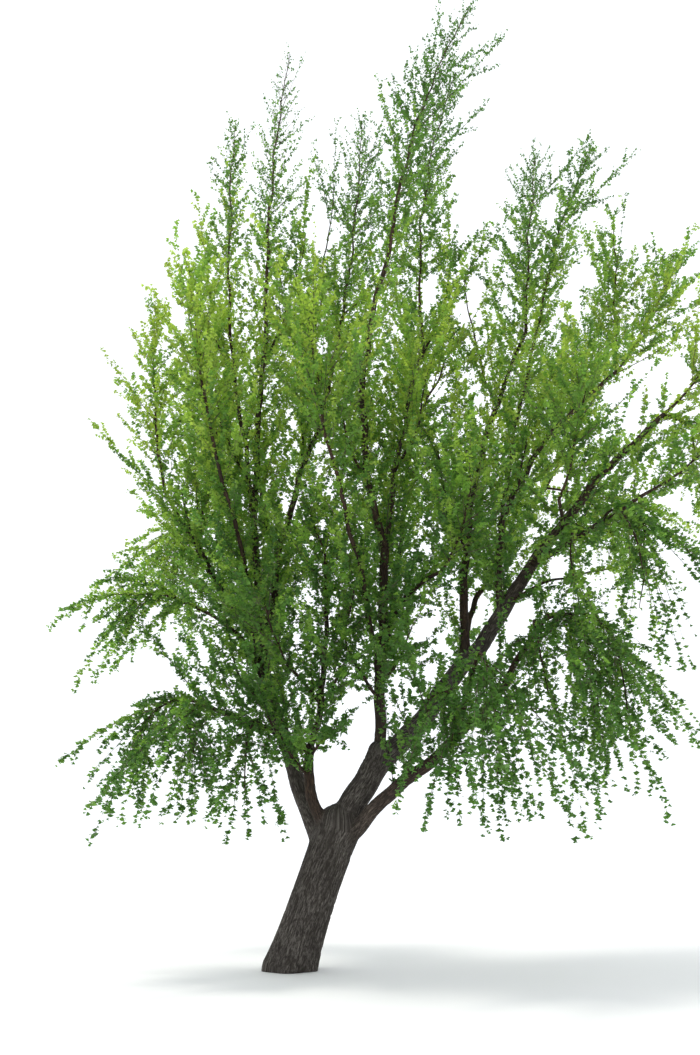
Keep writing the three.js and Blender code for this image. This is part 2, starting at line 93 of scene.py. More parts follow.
# Finer limbs, which the source has no node for. They go by finer_1, finer_2 and so on.
FINER_LIMBS = [
    ("drooping_bough", 1, (1.5, -0.3, 1), (-0.05, 0, -0.05), 0.042, 0.014),
    ("left_stem", 0.7, (-0.75, -0.9, 1.3), (-0.1, 0, -0.1), 0.03, 0.012),
    ("inner_left_stem", 0.35, (-0.9, -1.2, 1.4), (-0.1, -0.1, -0.1), 0.032, 0.012),
    ("inner_left_stem", 0.6, (0.55, -1, 1.3), (0.1, -0.1, -0.1), 0.03, 0.012),
    ("centre_leader", 0.25, (-0.7, -1.2, 1.2), (-0.1, -0.1, -0.1), 0.032, 0.012),
    ("centre_leader", 0.32, (0.5, -1.2, 0.7), (0.1, -0.1, 0), 0.03, 0.012),
    ("grey_stem", 0.72, (-0.9, -0.6, 1.3), (-0.1, -0.1, -0.1), 0.032, 0.012),
    ("grey_stem", 0.88, (-0.2, -1.4, 1.3), (-0.1, -0.1, -0.1), 0.032, 0.012),
    ("right_bough", 0.9, (1.6, -0.9, 0.35), (0, -0.1, 0.1), 0.034, 0.012),
    ("left_leader", 0.5, (-0.7, -1.3, 1.6), (-0.1, -0.1, -0.1), 0.032, 0.012),
    ("inner_leader", 0.45, (-0.3, -1.5, 1.5), (-0.1, -0.1, -0.1), 0.032, 0.012),
    ("tall_leader", 0.2, (-0.6, -1.3, 1.5), (-0.1, -0.1, -0.1), 0.032, 0.012),
    ("centre_right_leader", 0.35, (0.6, -1.2, 1.5), (0.1, -0.1, -0.1), 0.032, 0.012),
    ("upright_leader", 0.3, (-0.6, -1.1, 1.6), (-0.1, -0.1, -0.1), 0.032, 0.012),
    ("right_leader", 0.35, (0.3, -1.3, 1.4), (0.1, -0.1, -0.1), 0.032, 0.012),
    ("centre_leader", 0.7, (-0.4, 1.6, 1.7), (-0.1, 0.1, -0.1), 0.034, 0.012),
    ("left_leader", 0.1, (0.2, 1.6, 1.6), (0, 0.1, -0.1), 0.034, 0.012),
    ("right_bough", 0.85, (0.3, 1.6, 1.5), (0, 0.1, -0.1), 0.034, 0.012),
    ("tall_leader", 0.35, (0.2, 1.4, 1.7), (0, 0.1, -0.1), 0.032, 0.012),
    ("back_bough", 0.45, (-0.5, -0.3, 1.9), (-0.1, 0, -0.1), 0.032, 0.012),
    ("back_left_bough", 0.5, (1.1, -0.2, 1.8), (0.1, 0, -0.1), 0.032, 0.012),
    ("back_right_bough", 0.5, (-1.1, -0.3, 1.9), (-0.1, 0, -0.1), 0.032, 0.012),
    ("left_leader", 0.92, (0.85, -0.5, 3), (0.1, 0, -0.1), 0.03, 0.01),
    ("inner_leader", 0.8, (0.1, -1.2, 3.2), (0, -0.1, -0.1), 0.032, 0.01),
    ("centre_right_leader", 0.9, (0.8, -0.6, 2.5), (0.1, 0, -0.1), 0.03, 0.01),
    ("upright_leader", 0.75, (-0.7, -1, 2.7), (-0.1, 0, -0.1), 0.032, 0.01),
    ("drooping_bough", 0.75, (-0.45, -0.6, -1.4), (-0.2, -0.2, 0.5), 0.028, 0.01),
    ("drooping_bough", 0.9, (0.2, -1, -1.5), (0, -0.3, 0.5), 0.028, 0.01),
    ("hanging_bough", 0.8, (-0.1, -0.9, -1.2), (-0.1, -0.3, 0.5), 0.028, 0.01),
    ("hanging_bough", 0.95, (1, -0.6, -1.6), (0.3, -0.2, 0.6), 0.028, 0.01),
    ("far_left_bough", 0.7, (0.4, -0.4, 2.1), (0.1, 0, -0.1), 0.03, 0.012),
    ("far_left_bough", 0.4, (-0.7, -0.6, 1.6), (-0.1, -0.1, -0.1), 0.03, 0.012),
    ("second_left_leader", 0.8, (-0.45, -0.5, 1.3), (-0.1, 0, -0.1), 0.03, 0.012),
    ("inner_left_stem", 0.3, (0.35, -1.1, 0.5), (0.1, -0.1, 0.1), 0.028, 0.012),
    ("low_left_bough", 0.5, (-0.1, -0.8, -1.1), (-0.05, -0.25, 0.4), 0.026, 0.01),
    ("left_stem", 0.85, (0.3, -1.2, 0.3), (0.1, -0.2, 0.2), 0.026, 0.01),
    ("centre_right_leader", 0.55, (1.1, -0.4, 2.2), (0.1, -0.1, -0.1), 0.032, 0.012),
    ("inner_leader", 0.88, (0.5, -0.5, 6.6), (-0.1, 0, 0), 0.036, 0.01),
]

# Masses: name, the bough whose tip its stem grows from, the stem's reach and bow, how far shoots
# spread from the stem, how much they turn up (or hang, below zero), and the source's count of them
MASSES = [
    ("left_spire", "left_leader", (0.3, -0.35, 8.2), (-0.16, -0.04, 0), 0.85, 0.2, 11),
    ("second_left_spire", "second_left_leader", (-0.15, -0.35, 5.4), (-0.04, -0.1, 0), 0.75, 0.2, 8),
    ("inner_spire", "inner_leader", (0.95, -0.65, 8.4), (0.18, 0.08, -0.04), 1.3, 0.2, 10),
    ("tall_spire", "tall_leader", (2, -0.4, 7), (-0.29, -0.05, 0.08), 1.05, 0.2, 10),
    ("centre_right_spire", "centre_right_leader", (1, -0.75, 7.5), (-0.35, 0.18, 0.21), 0.95, 0.2, 10),
    ("upright_spire", "upright_leader", (0.75, 0.1, 5.6), (-0.04, 0.04, 0), 1.15, 0.2, 9),
    ("slim_spire", "slim_leader", (1.65, -0.35, 4.8), (-0.16, 0, 0.05), 0.85, 0.2, 8),
    ("right_crest", "right_leader", (0.4, -0.2, 4), (0.02, 0, -0.01), 0.95, 0.2, 7),
    ("right_upper", "right_leader", (1.3, -0.6, 2.4), (0.13, 0.05, -0.06), 1.1, 0.15, 6),
    ("right_end", "right_bough_end", (1.25, -0.25, 1.55), (0.06, -0.06, -0.08), 1.25, 0.1, 7),
    ("right_end_low", "right_bough_end", (1.05, 0.25, -0.9), (0.19, 0.07, 0.15), 1.2, -0.15, 6),
    ("drooping", "drooping_bough", (0, -0.5, -1.8), (0.3, -0.1, 0.45), 1.05, -0.4, 8),
    ("hanging_outer", "hanging_bough", (0.75, 0.3, -2), (0.3, 0.06, 0.7), 1.1, -0.4, 8),
    ("hanging_inner", "low_front_bough", (0.2, -0.5, -1.5), (0, -0.35, 0.65), 1.15, -0.4, 8),
    ("low_left_outer", "low_left_bough", (-1.05, -0.4, -0.9), (-0.2, -0.1, 0.35), 0.9, -0.35, 7),
    ("low_left_inner", "low_left_bough", (0.1, -1, -1.05), (-0.15, -0.3, 0.2), 0.95, -0.35, 7),
    ("mid_left", "mid_left_bough", (-1.15, -0.35, -0.25), (-0.3, -0.06, 0.3), 1, -0.1, 8),
    ("far_left_high", "far_left_bough", (-0.45, -0.3, 4.05), (-0.12, -0.05, 0), 0.8, 0.2, 8),
    ("front_left", "front_left_bough", (-0.7, -0.2, 3.85), (-0.03, -0.09, -0.02), 1.05, 0.2, 8),
    ("inner_left", "inner_left_stem", (-0.45, -0.85, 2), (0.15, -0.04, 0.01), 1.3, 0.1, 8),
    ("front", "front_bough", (-0.5, 0, 3.65), (-0.13, -0.1, -0.03), 1.35, 0.2, 8),
    ("centre_front", "centre_side_bough", (0.4, -0.85, 2.1), (0.21, -0.21, -0.2), 1.35, 0.1, 8),
    ("front_right", "front_right_bough", (0.55, -0.5, 2.6), (0.11, -0.21, -0.07), 1.35, 0.1, 8),
    ("low_centre", "low_centre_bough", (0.2, -0.75, -0.9), (0.15, -0.2, 0.35), 0.95, -0.35, 7),
    ("back_left", "back_left_bough", (-0.9, 0.3, 5.8), (-0.13, 0.26, -0.04), 1.4, 0.2, 8),
    ("back_left_low", "back_left_bough", (-1.2, 0.4, -1.4), (-0.3, 0.19, 0.5), 1.25, -0.1, 7),
    ("back", "back_bough", (0.4, 0.3, 5.9), (0.02, 0.28, -0.03), 1.4, 0.2, 8),
    ("back_right", "back_right_bough", (1.7, 0.2, 4.9), (0.24, 0.21, -0.09), 1.45, 0.2, 8),
    ("back_right_low", "back_right_bough", (1.5, 0.2, -1.5), (0.45, 0.23, 0.45), 1.35, -0.15, 8),
]

# The trunk
TRUNK_REACH = (0.75, -0.05, 2.1)
TRUNK_BOW = (-0.02, 0.02, 0)
TRUNK_WAIST = 0.355
FORK_SWELL = 0.025
FLARE = 0.075
FLARE_HEIGHT = 0.45
FLARE_LOBES = 5
FLARE_LOBE_DEPTH = 0.35

# The source's rule for shoots
SEED = 1913
SEED_STEP = 101
GOLDEN_ANGLE = 2.39996
FIRST_SHOOT = 0.1
SHOOT_STRAY = 0.9
TURN_STRAY = 0.6
SHORTEST_SPREAD = 0.8
SPREAD_STRAY = 0.3
WIDE_ANGLE = 0.95
NARROW_ANGLE = 0.55
TOP_WIDTH = 0.14
LONGEST_SHOOT = 1.25
SWEEP = 0.3
CALM_HEIGHT = 10
SWEPT_HEIGHT = 14
STRAIGHT = 1e-3
SIDEWAYS = (0, 1, 0.2)
SPRAY_SHARE = 0.62  # how far the leaf that ends a source shoot reaches past it, against its length
SPRAY_REACHES = (0.15, 0.95)
SHORTENINGS = (1, 0.85, 0.7, 0.55, 0.4)

# Limbs and stems
WANDER = 0.03  # how far they stray from their arcs
WANDER_WAVES = ((2.3, 0.9), (2.0, 0.8))  # in waves so long, the first pair to one side
SECOND_WAVE = 0.5  # against the first
ARC_SAMPLES = 41
STEM_SHARE = 0.95  # a mass's stem against its bough's tip
FORK_STEM_SHARE = 0.7  # the same where two masses share the tip
STEM_TIP_RADIUS = 0.006
LEAFLESS_RADIUS = 0.085  # thicker wood than this bears no branches or leaves

# Room
LIMB_CLEARANCE = 0.03
LIMB_SAMPLE_STEP = 0.12
STEM_SAMPLE_STEP = 0.2
ROWS_AT_ONCE = 4000
PAST_TIP = 0.12
LOWEST_LEAF = 1.85  # foliage hangs to this height, give or take the fringe's depth
FRINGE_DEPTH = 0.35
FRINGE_WIDTH = 0.8

# Shoots on limbs, side shoots and twigs; lengths are in metres, angles off what carries them
BRANCHES = {"per_metre": 4.2, "lengths": (0.8, 2.2), "angles": (0.5, 0.85), "lift": 0.2}
LIMB_SHOOTS = {"per_metre": 8.0, "lengths": (0.3, 0.95), "angles": (0.6, 1.1), "lift": 0.15}
SIDES = {"per_metre": 3.0, "share": 0.42, "lengths": (0.15, 0.8), "angles": (0.35, 0.65)}
TWIGS = {"per_metre": 4.5, "share": 0.3, "lengths": (0.06, 0.24), "angles": (0.4, 0.8)}
MASS_SHOOTS_PER_METRE = 12.5
HANGING_SHOOTS_PER_METRE = 19.0
BACK_DENSITY = 1.35  # how many times as many shoots the masses at the back have
FINER_START = 0.04  # finer shoots stand from here up the stem, over this share of it
FINER_RUN = 0.95
FINER_REACH = 1.1
FINER_SWEEP = 0.1
FINER_WIDTHS = (0.4, 1.0)
ANGLE_STRAY = 0.12
SIDE_START = 0.12
SIDE_END = 0.98
SIDE_FALL = 1.2  # a side shoot's length goes with this less how far out it stands
SIDE_STRAYS = (0.6, 1.2)
SIDE_CURL = 0.6
CURL_UP = 0.12
CURL_DOWN = -0.45
HANGING_LIFT = -0.35  # of shoots on a limb that hangs
ASIDE = (0.3, 0.2, 1)  # hardly any shoot runs this way, so what stands round one starts from it
STRAND_ASIDE = (0.31, 0.17, 0.9)  # the same for the corners of its mesh

# Where along main shoots their room and the gaps are tested
MAIN_ROOM = (0.4, 0.6, 0.8, 1)
MAIN_GAPS = (0.15, 0.4, 0.7, 1)

# Thickness: of a shoot or twig, its share at no length, and what each metre of length adds
SHOOT_RADIUS = 0.0075
SHOOT_GROWTH = (0.4, 0.6)
TWIG_RADIUS = 0.003
TWIG_GROWTH = (0.6, 2)
TIP_RADIUS = 0.001
CARRIER_SHARE = 0.8  # the most that a shoot's foot has of what carries it

# Leaves: a fan of two faces with a notch, folded a little along its middle. Across, along, up of it.
LEAF_POINTS = np.array([(0, 0, 0), (0.6, 0.76, 0.07), (0, 1, 0), (-0.6, 0.76, 0.07)])
LEAF_FACES = np.array([(0, 1, 2), (0, 2, 3)])
LEAF_NOTCHES = (0.7, 1.0)  # how far along its leaf the middle of its top edge lies
NOTCH = 2  # which point that is
LEAF_LENGTHS = (0.067, 0.097)
YOUNG_LEAF = 0.38  # how much smaller leaves are at the tip of a shoot
HIGH_LEAF = 0.42  # and at the tree's top, growing with this power of the height
HIGH_POWER = 3
LEAF_SPACING = 0.03
LEAVES_PER_SPUR = (2, 5)
SPUR_STEP = 0.058
SPUR_STRAY = 0.6
LIMB_SPURS_PER_METRE = 8
STEM_SPURS_PER_METRE = 24
LEAF_FORWARD = 0.8  # how far a leaf leans along its wood, and its strays
FORWARD_STRAY = 0.3
LEAF_LIFT = 0.15
HANGING_DROOP = -0.5
FACING_OUT = 0.35  # how far a leaf, which faces up, turns to the outside
FACING_STRAY = 0.45
LEAF_BUDGET = 362000
AIRY_HEIGHT = 13.5  # above this, over so many metres, up to these shares of leaves are left out
AIRY_RISE = 4.5
AIRY_SHARES = (0.68, 0.18)  # on the left of the trunk's foot, and so many metres to its right
AIRY_WIDTH = 2.0
CROWD_CELL = 0.4
CROWD = 82  # leaves in a cell from where on some are left out
CROWD_POWER = 0.7

# The eye, and gaps where sky shows through the crown: how far across and up of the middle of its
# view they lie, and half how wide they are, all against the distance
EYE = (0.944, -14.3, 1.6)
PITCH = math.radians(22.57)
FOCAL_SHARE = 27.3 / 36  # focal length against the frame's long side
GAPS = [
    (0.094, 0.297, 0.024), (0.110, 0.177, 0.018), (0.150, 0.270, 0.020), (0.156, -0.100, 0.030),
    (0.172, -0.155, 0.024), (0.090, -0.125, 0.020), (0.333, 0.165, 0.020), (0.345, 0.140, 0.016),
    (0.370, 0.198, 0.018), (0.266, 0.053, 0.018), (0.411, -0.050, 0.026), (0.412, 0.175, 0.026),
    (0.315, -0.035, 0.016), (0.365, -0.093, 0.026), (0.262, -0.053, 0.017), (0.216, -0.116, 0.018),
    (0.318, -0.066, 0.018), (0.425, -0.135, 0.030), (0.395, -0.085, 0.018), (-0.034, 0.230, 0.011),
    (-0.215, 0.265, 0.014), (-0.034, 0.100, 0.012), (-0.075, 0.025, 0.013), (0.246, 0.395, 0.014),
    (0.338, 0.375, 0.018), (-0.034, 0.370, 0.024), (-0.269, 0.341, 0.032), (-0.244, 0.374, 0.024),
    (-0.331, 0.103, 0.032), (-0.318, 0.205, 0.022),
]
SHOOT_CLEARING = 1.15  # how strongly a gap's middle is cleared of shoots, and of single leaves
LEAF_CLEARING = 0.5

# Limbs and stems that show through the crown, and the share of the leaves before them that stay
SHOWN = ["left_leader", "second_left_leader", "inner_leader", "left_spire", "second_left_spire",
         "inner_spire", "centre_leader", "tall_leader", "tall_spire", "centre_right_leader",
         "centre_right_spire", "right_bough", "upright_leader", "upright_spire", "right_leader",
         "right_bough_end", "slim_leader", "drooping_bough", "finer_1", "inner_left_stem"]
HIDING_SHARE = 0.35
VIEW_CELLS = 700  # to each side of the middle of the view
VIEW_MARGIN = 0.02
VIEW_SAMPLES = 500
VIEW_SHIFTS = 7

rng = np.random.default_rng(SEED)


# Vectors


def unit(vectors):
    return vectors / np.maximum(np.linalg.norm(vectors, axis=-1, keepdims=True), 1e-9)


def dot(first, second):
    return (first * second).sum(-1, keepdims=True)


def column(values):
    return np.asarray(values, float)[..., None]


def upward(values):
    return column(values) * np.array([0, 0, 1.0])


def around(along, turn, aside=ASIDE):
    """Directions square to these axes, so far round them."""
    across = unit(np.cross(along, aside))
    return across * column(np.cos(turn)) + np.cross(along, across) * column(np.sin(turn))


def dealt(counts):
    """What each of so many things on each carrier stands on, and its number there."""
    carrier = np.repeat(np.arange(len(counts)), counts)
    return carrier, np.arange(len(carrier)) - np.repeat(np.cumsum(counts) - counts, counts)


def seeded_random(seed):
    """The source's seeded numbers between 0 and 1."""
    whole = 0xFFFFFFFF
    state = seed & whole
    while True:
        state = (state + 0x6D2B79F5) & whole
        mixed = ((state ^ (state >> 15)) * (state | 1)) & whole
        mixed ^= (mixed + (((mixed ^ (mixed >> 7)) * (mixed | 61)) & whole)) & whole
        yield ((mixed ^ (mixed >> 14)) & whole) / 2**32


def lattice(cells, seed):
    """A random value from -1 to 1 for each whole-numbered cell."""
    mixed = (cells * np.array([73856093, 19349663, 83492791])).sum(-1) + seed * 2654435
    mixed = (mixed ^ (mixed >> 13)) * 1274126177 & 0xFFFFFFFF
    mixed = (mixed ^ (mixed >> 15)) * 668265263 & 0xFFFFFFFF
    return (mixed ^ (mixed >> 16)) / 2**31 - 1


def noise(points, seed):
    """Smooth random values from -1 to 1 that change over about one unit."""
    cells = np.floor(points).astype(np.int64)
    part = points - cells
    fade = part * part * (3 - 2 * part)
    total = np.zeros(points.shape[:-1])
    for corner in np.ndindex(2, 2, 2):
        weight = np.where(corner, fade, 1 - fade).prod(-1)
        total += weight * lattice(cells + corner, seed)
    return total


# Arcs


class Arc:
    """An axis that ends its reach away from its foot, and swings by its bow half way along.

    A foot that isn't on its carrier's tip is buried so deep in the carrier.
    """

    def __init__(self, foot, reach, bow, foot_radius, tip_radius, buried=0, wander=WANDER):
        self.foot, self.reach, self.bow = (np.array(v, float) for v in (foot, reach, bow))
        self.radii = foot_radius, tip_radius
        self.buried = buried
        across = np.cross(self.reach, self.bow)
        if np.linalg.norm(across) < STRAIGHT * self.reach @ self.reach:
            across = np.cross(self.reach, SIDEWAYS)
        self.across = unit(across)
        self.wander = 0
        joints = self.point(np.linspace(0, 1, ARC_SAMPLES))
        self.length = np.linalg.norm(np.diff(joints, axis=0), axis=1).sum()
        self.wander = wander
        self.phases = rng.uniform(0, 2 * math.pi, 4)

    def point(self, share):
        share = np.asarray(share, float)
        swing = column(4 * share * (1 - share))
        place = self.foot + self.reach * column(share) + self.bow * swing
        if self.wander:
            turns = share * self.length * 2 * math.pi
            held = self.wander * np.sin(math.pi * share)
            phases = self.phases.reshape(2, 2)
            for aside, (long, short), phase in zip(self.sides(share), WANDER_WAVES, phases):
                swings = np.sin(turns / long + phase[0])
                swings = swings + SECOND_WAVE * np.sin(turns / short + phase[1])
                place = place + aside * column(held * swings)
        return place

    def direction(self, share):
        return unit(self.reach + self.bow * 4 * (1 - 2 * column(share)))

    def sides(self, share):
        """Two directions square to the arc and to each other."""
        along = self.direction(share)
        across = unit(self.across - along * dot(along, self.across))
        return across, np.cross(across, along)

    def outward(self, share, turn):
        """The source's direction away from the arc, for a turn about it."""
        across, over = self.sides(share)
        return across * column(np.cos(turn)) - over * column(np.sin(turn))

    def radius(self, share, turn=0.0):
        foot, tip = self.radii
        return tip + (foot - tip) * (1 - np.asarray(share, float)) + 0 * turn


class Trunk(Arc):
    """The trunk swells at the fork and flares in lobes at the ground."""

    def sides(self, share):
        level = np.ones_like(column(share))
        return level * np.array([1.0, 0, 0]), level * np.array([0, -1.0, 0])

    def radius(self, share, turn=0.0):
        share = np.asarray(share, float)
        flare = FLARE * np.exp(-share * TRUNK_REACH[2] / FLARE_HEIGHT)
        lobes = 1 + FLARE_LOBE_DEPTH * np.cos(FLARE_LOBES * turn)
        return TRUNK_WAIST + flare * lobes + FORK_SWELL * share**4


def make_limbs():
    limbs = {"trunk": Trunk((0, 0, 0), TRUNK_REACH, TRUNK_BOW, TRUNK_WAIST, TRUNK_WAIST, wander=0)}
    finer = [(f"finer_{number}", *row) for number, row in enumerate(FINER_LIMBS, 1)]
    for name, carrier, at, *shape in LIMBS + finer:
        buried = float(limbs[carrier].radius(at)) if at < 1 else 0
        limbs[name] = Arc(limbs[carrier].point(at), *shape, buried)
    return limbs


def make_stems(limbs):
    stems = {}
    carriers = [row[1] for row in MASSES]
    for name, carrier, reach, bow, *_ in MASSES:
        bough = limbs[carrier]
        share = FORK_STEM_SHARE if carriers.count(carrier) > 1 else STEM_SHARE
        stems[name] = Arc(bough.point(1), reach, bow, share * bough.radii[1], STEM_TIP_RADIUS)
    return stems


# Room


class Samples:
    """Points along several arcs, with the arcs' radii there, for finding the nearest."""

    def __init__(self, arcs, step):
        shares = [np.linspace(0, 1, max(3, int(arc.length / step))) for arc in arcs]
        self.points = np.concatenate([arc.point(s) for arc, s in zip(arcs, shares)])
        self.radii = np.concatenate([arc.radius(s) for arc, s in zip(arcs, shares)])
        self.owners = np.concatenate([np.full(len(s), i) for i, s in enumerate(shares)])

    def nearest(self, points):
        """For each point, the owner of the nearest sample and the distance outside that arc."""
        owners, depths = [], []
        squares = (self.points**2).sum(1)
        for start in range(0, len(points), ROWS_AT_ONCE):
            part = points[start : start + ROWS_AT_ONCE]
            squared = (part**2).sum(1)[:, None] + squares - 2 * part @ self.points.T
            outside = np.sqrt(np.maximum(squared, 0)) - self.radii
            best = outside.argmin(1)
            owners.append(self.owners[best])
            depths.append(outside[np.arange(len(part)), best])
        return np.concatenate(owners), np.concatenate(depths)


limbs = make_limbs()
stems = make_stems(limbs)
limb_samples = Samples(list(limbs.values()), LIMB_SAMPLE_STEP)
stem_samples = Samples(list(stems.values()), STEM_SAMPLE_STEP)


def in_box(points):
    low, high = (np.array(corner) for corner in cad_box)
    lowest = LOWEST_LEAF + FRINGE_DEPTH * noise(points * (1, 1, 0) / FRINGE_WIDTH, seed=4)
    return ((points > low) & (points < high)).all(-1) & (points[..., 2] > lowest)


def has_room(points, home=None):
    """Whether each row of points stays in the box, clear of the limbs and in its home's space."""
    rows, per_row = points.shape[:2]
    flat = points.reshape(-1, 3)
    fits = in_box(flat) & (limb_samples.nearest(flat)[1] > LIMB_CLEARANCE)
    if home is not None:
        fits &= stem_samples.nearest(flat)[0] == np.repeat(home, per_row)
    return fits.reshape(rows, per_row).all(1)


def seen(points):
    """Where points lie for the eye: across and up of the middle of its view, and how far ahead."""
    offset = points - np.array(EYE)
    ahead = offset[..., 1] * math.cos(PITCH) + offset[..., 2] * math.sin(PITCH)
    up = offset[..., 2] * math.cos(PITCH) - offset[..., 1] * math.sin(PITCH)
    return offset[..., 0] / ahead, up / ahead, ahead


def outside_gaps(points, clearing):
    """Which rows of points to keep, so that few reach into the gaps."""
    across, up, _ = seen(points)
    keep = np.ones(len(points))
    for gap_across, gap_up, size in GAPS:
        squared = ((across - gap_across) ** 2 + (up - gap_up) ** 2) / size**2
        keep = np.minimum(keep, 1 - np.clip(clearing * (1 - squared), 0, 1).max(-1))
    return rng.random(len(points)) < keep


def view_cell(across, up):
    return tuple((np.clip(np.stack([across, up]) + 1, 0, 1.999) * VIEW_CELLS).astype(int))


def limb_view(names):
    """A grid over the eye's view, with how far away the nearest of these limbs is in each cell."""
    nearest = np.zeros((2 * VIEW_CELLS, 2 * VIEW_CELLS))
    share = np.linspace(0, 1, VIEW_SAMPLES)
    for name in names:
        arc = limbs.get(name) or stems[name]
        across, up, ahead = seen(arc.point(share))
        for shift in np.linspace(-1, 1, VIEW_SHIFTS):
            cells = view_cell(across + shift * (arc.radius(share) + VIEW_MARGIN) / ahead, up)
            nearest[cells] = np.where(nearest[cells] > 0, np.minimum(nearest[cells], ahead), ahead)
    return nearest


def beside_limbs(points):
    """Which leaves to keep, so that the limbs named show through the crown."""
    across, up, ahead = seen(points)
    nearest = limb_view(SHOWN)[view_cell(across, up)]
    hides = (nearest > 0) & (ahead < nearest)
    return ~hides | (rng.random(len(points)) < HIDING_SHARE)


# Shoots of every size


class Shoots:
    """Many thin axes at once. Each runs from its foot along its heading, and curls up or down."""

    KEYS = ("foot", "heading", "length", "curl", "radius", "spray")

    def __init__(self, *values):
        self.__dict__.update(zip(self.KEYS, values))

    def __len__(self):
        return len(self.foot)

    def pick(self, index):
        return Shoots(*(getattr(self, key)[index] for key in self.KEYS))

    @staticmethod
    def joined(parts):
        return Shoots(*(np.concatenate([getattr(p, key) for p in parts]) for key in Shoots.KEYS))

    def point(self, share):
        """Points at these shares: a row of shares for each shoot, or one row for all of them."""
        share = np.broadcast_to(share, (len(self), np.shape(share)[-1]))
        run = self.heading[:, None] * column(share) + upward(self.curl[:, None] * share**2)
        return self.foot[:, None] + run * self.length[:, None, None]

    def direction(self, share):
        share = np.broadcast_to(share, (len(self), np.shape(share)[-1]))
        return unit(self.heading[:, None] + upward(2 * self.curl[:, None] * share))


def round_arc(arc, share, turn, angle, lift):
    heading = arc.direction(share) * column(np.cos(angle))
    heading = heading + arc.outward(share, turn) * column(np.sin(angle))
    return arc.point(share), heading + upward(lift + 0 * share)


def fitted(shoots, home=None):
    """The shoots that have room, each as long as its room lets it be."""
    kept = []
    left = np.ones(len(shoots), bool)
    full = shoots.length
    for shortening in SHORTENINGS:
        shoots.length = shortening * full
        fits = left & has_room(shoots.point(MAIN_ROOM), home)
        kept.append(shoots.pick(fits))
        left &= ~fits
    return Shoots.joined(kept)


def swept(stem, share, turn, sweep):
    """How much longer shoots towards +X are high in the tree, and those towards -X shorter."""
    rise = np.clip((stem.point(share)[:, 2] - CALM_HEIGHT) / (SWEPT_HEIGHT - CALM_HEIGHT), 0, 1)
    return 1 + sweep * rise**2 * (3 - 2 * rise) * stem.outward(share, turn)[:, 0]


def angle_along(share):
    return WIDE_ANGLE + (NARROW_ANGLE - WIDE_ANGLE) * share


def mass_lengths(stem, spread, share, turn, angle, strays, sweep):
    """How long shoots are, so that their mass is wide low down and narrow at its top."""
    width = TOP_WIDTH + (1 - TOP_WIDTH) * np.sin(math.pi * np.sqrt(share))
    length = np.minimum(spread * width * strays / np.sin(angle), LONGEST_SHOOT * spread)
    return length * swept(stem, share, turn, sweep)


def on_stem(stem, share, turn, angle, lift, length):
    """Feet, headings, lengths and carriers' radii of a mass's shoots.

    Those that turn up end little beyond the tip of their stem.
    """
    if lift > 0:
        length = np.minimum(length, (PAST_TIP + (1 - share) * stem.length) / np.cos(angle))
    return *round_arc(stem, share, turn, angle, lift), length, stem.radius(share)


def source_shoots(index, stem, spread, lift, count):
    """The shoots that the source's mass has."""
    random = seeded_random(SEED + SEED_STEP * index)
    draws = np.array([[next(random) for _ in range(4)] for _ in range(count)])
    order = np.arange(count)
    share = FIRST_SHOOT + (1 - FIRST_SHOOT) * (order + SHOOT_STRAY * draws[:, 0]) / count
    turn = order * GOLDEN_ANGLE + TURN_STRAY * draws[:, 1]
    angle = angle_along(share)
    strays = SHORTEST_SPREAD + SPREAD_STRAY * draws[:, 2]
    length = mass_lengths(stem, spread, share, turn, angle, strays, SWEEP)
    length = length + np.clip(SPRAY_SHARE * length, *SPRAY_REACHES)
    return on_stem(stem, share, turn, angle, lift, length)


def spiral(count, start=0, run=1):
    """Shares and turns of so many shoots round an arc, from one share of it over a run."""
    order = np.arange(count)
    share = start + run * (order + rng.random(count)) / count
    return share, order * GOLDEN_ANGLE + TURN_STRAY * rng.random(count)


def finer_shoots(stem, spread, lift, density):
    """More shoots of all lengths between the source's."""
    per_metre = MASS_SHOOTS_PER_METRE if lift > 0 else HANGING_SHOOTS_PER_METRE
    count = int(density * per_metre * stem.length)
    share, turn = spiral(count, FINER_START, FINER_RUN)
    angle = angle_along(share) + rng.normal(0, ANGLE_STRAY, count)
    strays = rng.uniform(*FINER_WIDTHS, count)
    length = mass_lengths(stem, spread, share, turn, angle, strays, FINER_SWEEP) * FINER_REACH
    return on_stem(stem, share, turn, angle, lift, length)


def slim(radius, growth, length):
    return radius * (growth[0] + growth[1] * length)


def thickness(length, carried_by):
    return np.minimum(slim(SHOOT_RADIUS, SHOOT_GROWTH, length), CARRIER_SHARE * carried_by)


def mass_shoots():
    parts = []
    for index, (name, _, _, _, spread, lift, count) in enumerate(MASSES):
        density = BACK_DENSITY if name.startswith("back") else 1
        grown = [source_shoots(index, stems[name], spread, lift, count),
                 finer_shoots(stems[name], spread, lift, density)]
        foot, heading, length, carried_by = (np.concatenate(pair) for pair in zip(*grown))
        curl = np.full(len(foot), CURL_UP if lift > 0 else CURL_DOWN)
        unnumbered = np.zeros(len(foot), int)
        shoots = Shoots(foot, heading, length, curl, thickness(length, carried_by), unnumbered)
        parts.append(fitted(shoots, np.full(len(foot), index)))
    return Shoots.joined(parts)


def on_limbs(per_metre, lengths, angles, lift):
    """Shoots that stand on the limbs wherever they aren't too thick."""
    parts = []
    for arc in limbs.values():
        count = int(per_metre * arc.length)
        share, turn = spiral(count)
        length = rng.uniform(*lengths, count)
        hangs = arc.reach[2] < 0
        angle = rng.uniform(*angles, count)
        foot, heading = round_arc(arc, share, turn, angle, HANGING_LIFT if hangs else lift)
        curl = np.full(count, CURL_DOWN if hangs else CURL_UP)
        radius = thickness(length, arc.radius(share))
        shoots = Shoots(foot, heading, length, curl, radius, np.zeros(count, int))
        parts.append(shoots.pick(arc.radius(share) < LEAFLESS_RADIUS))
    return fitted(Shoots.joined(parts))


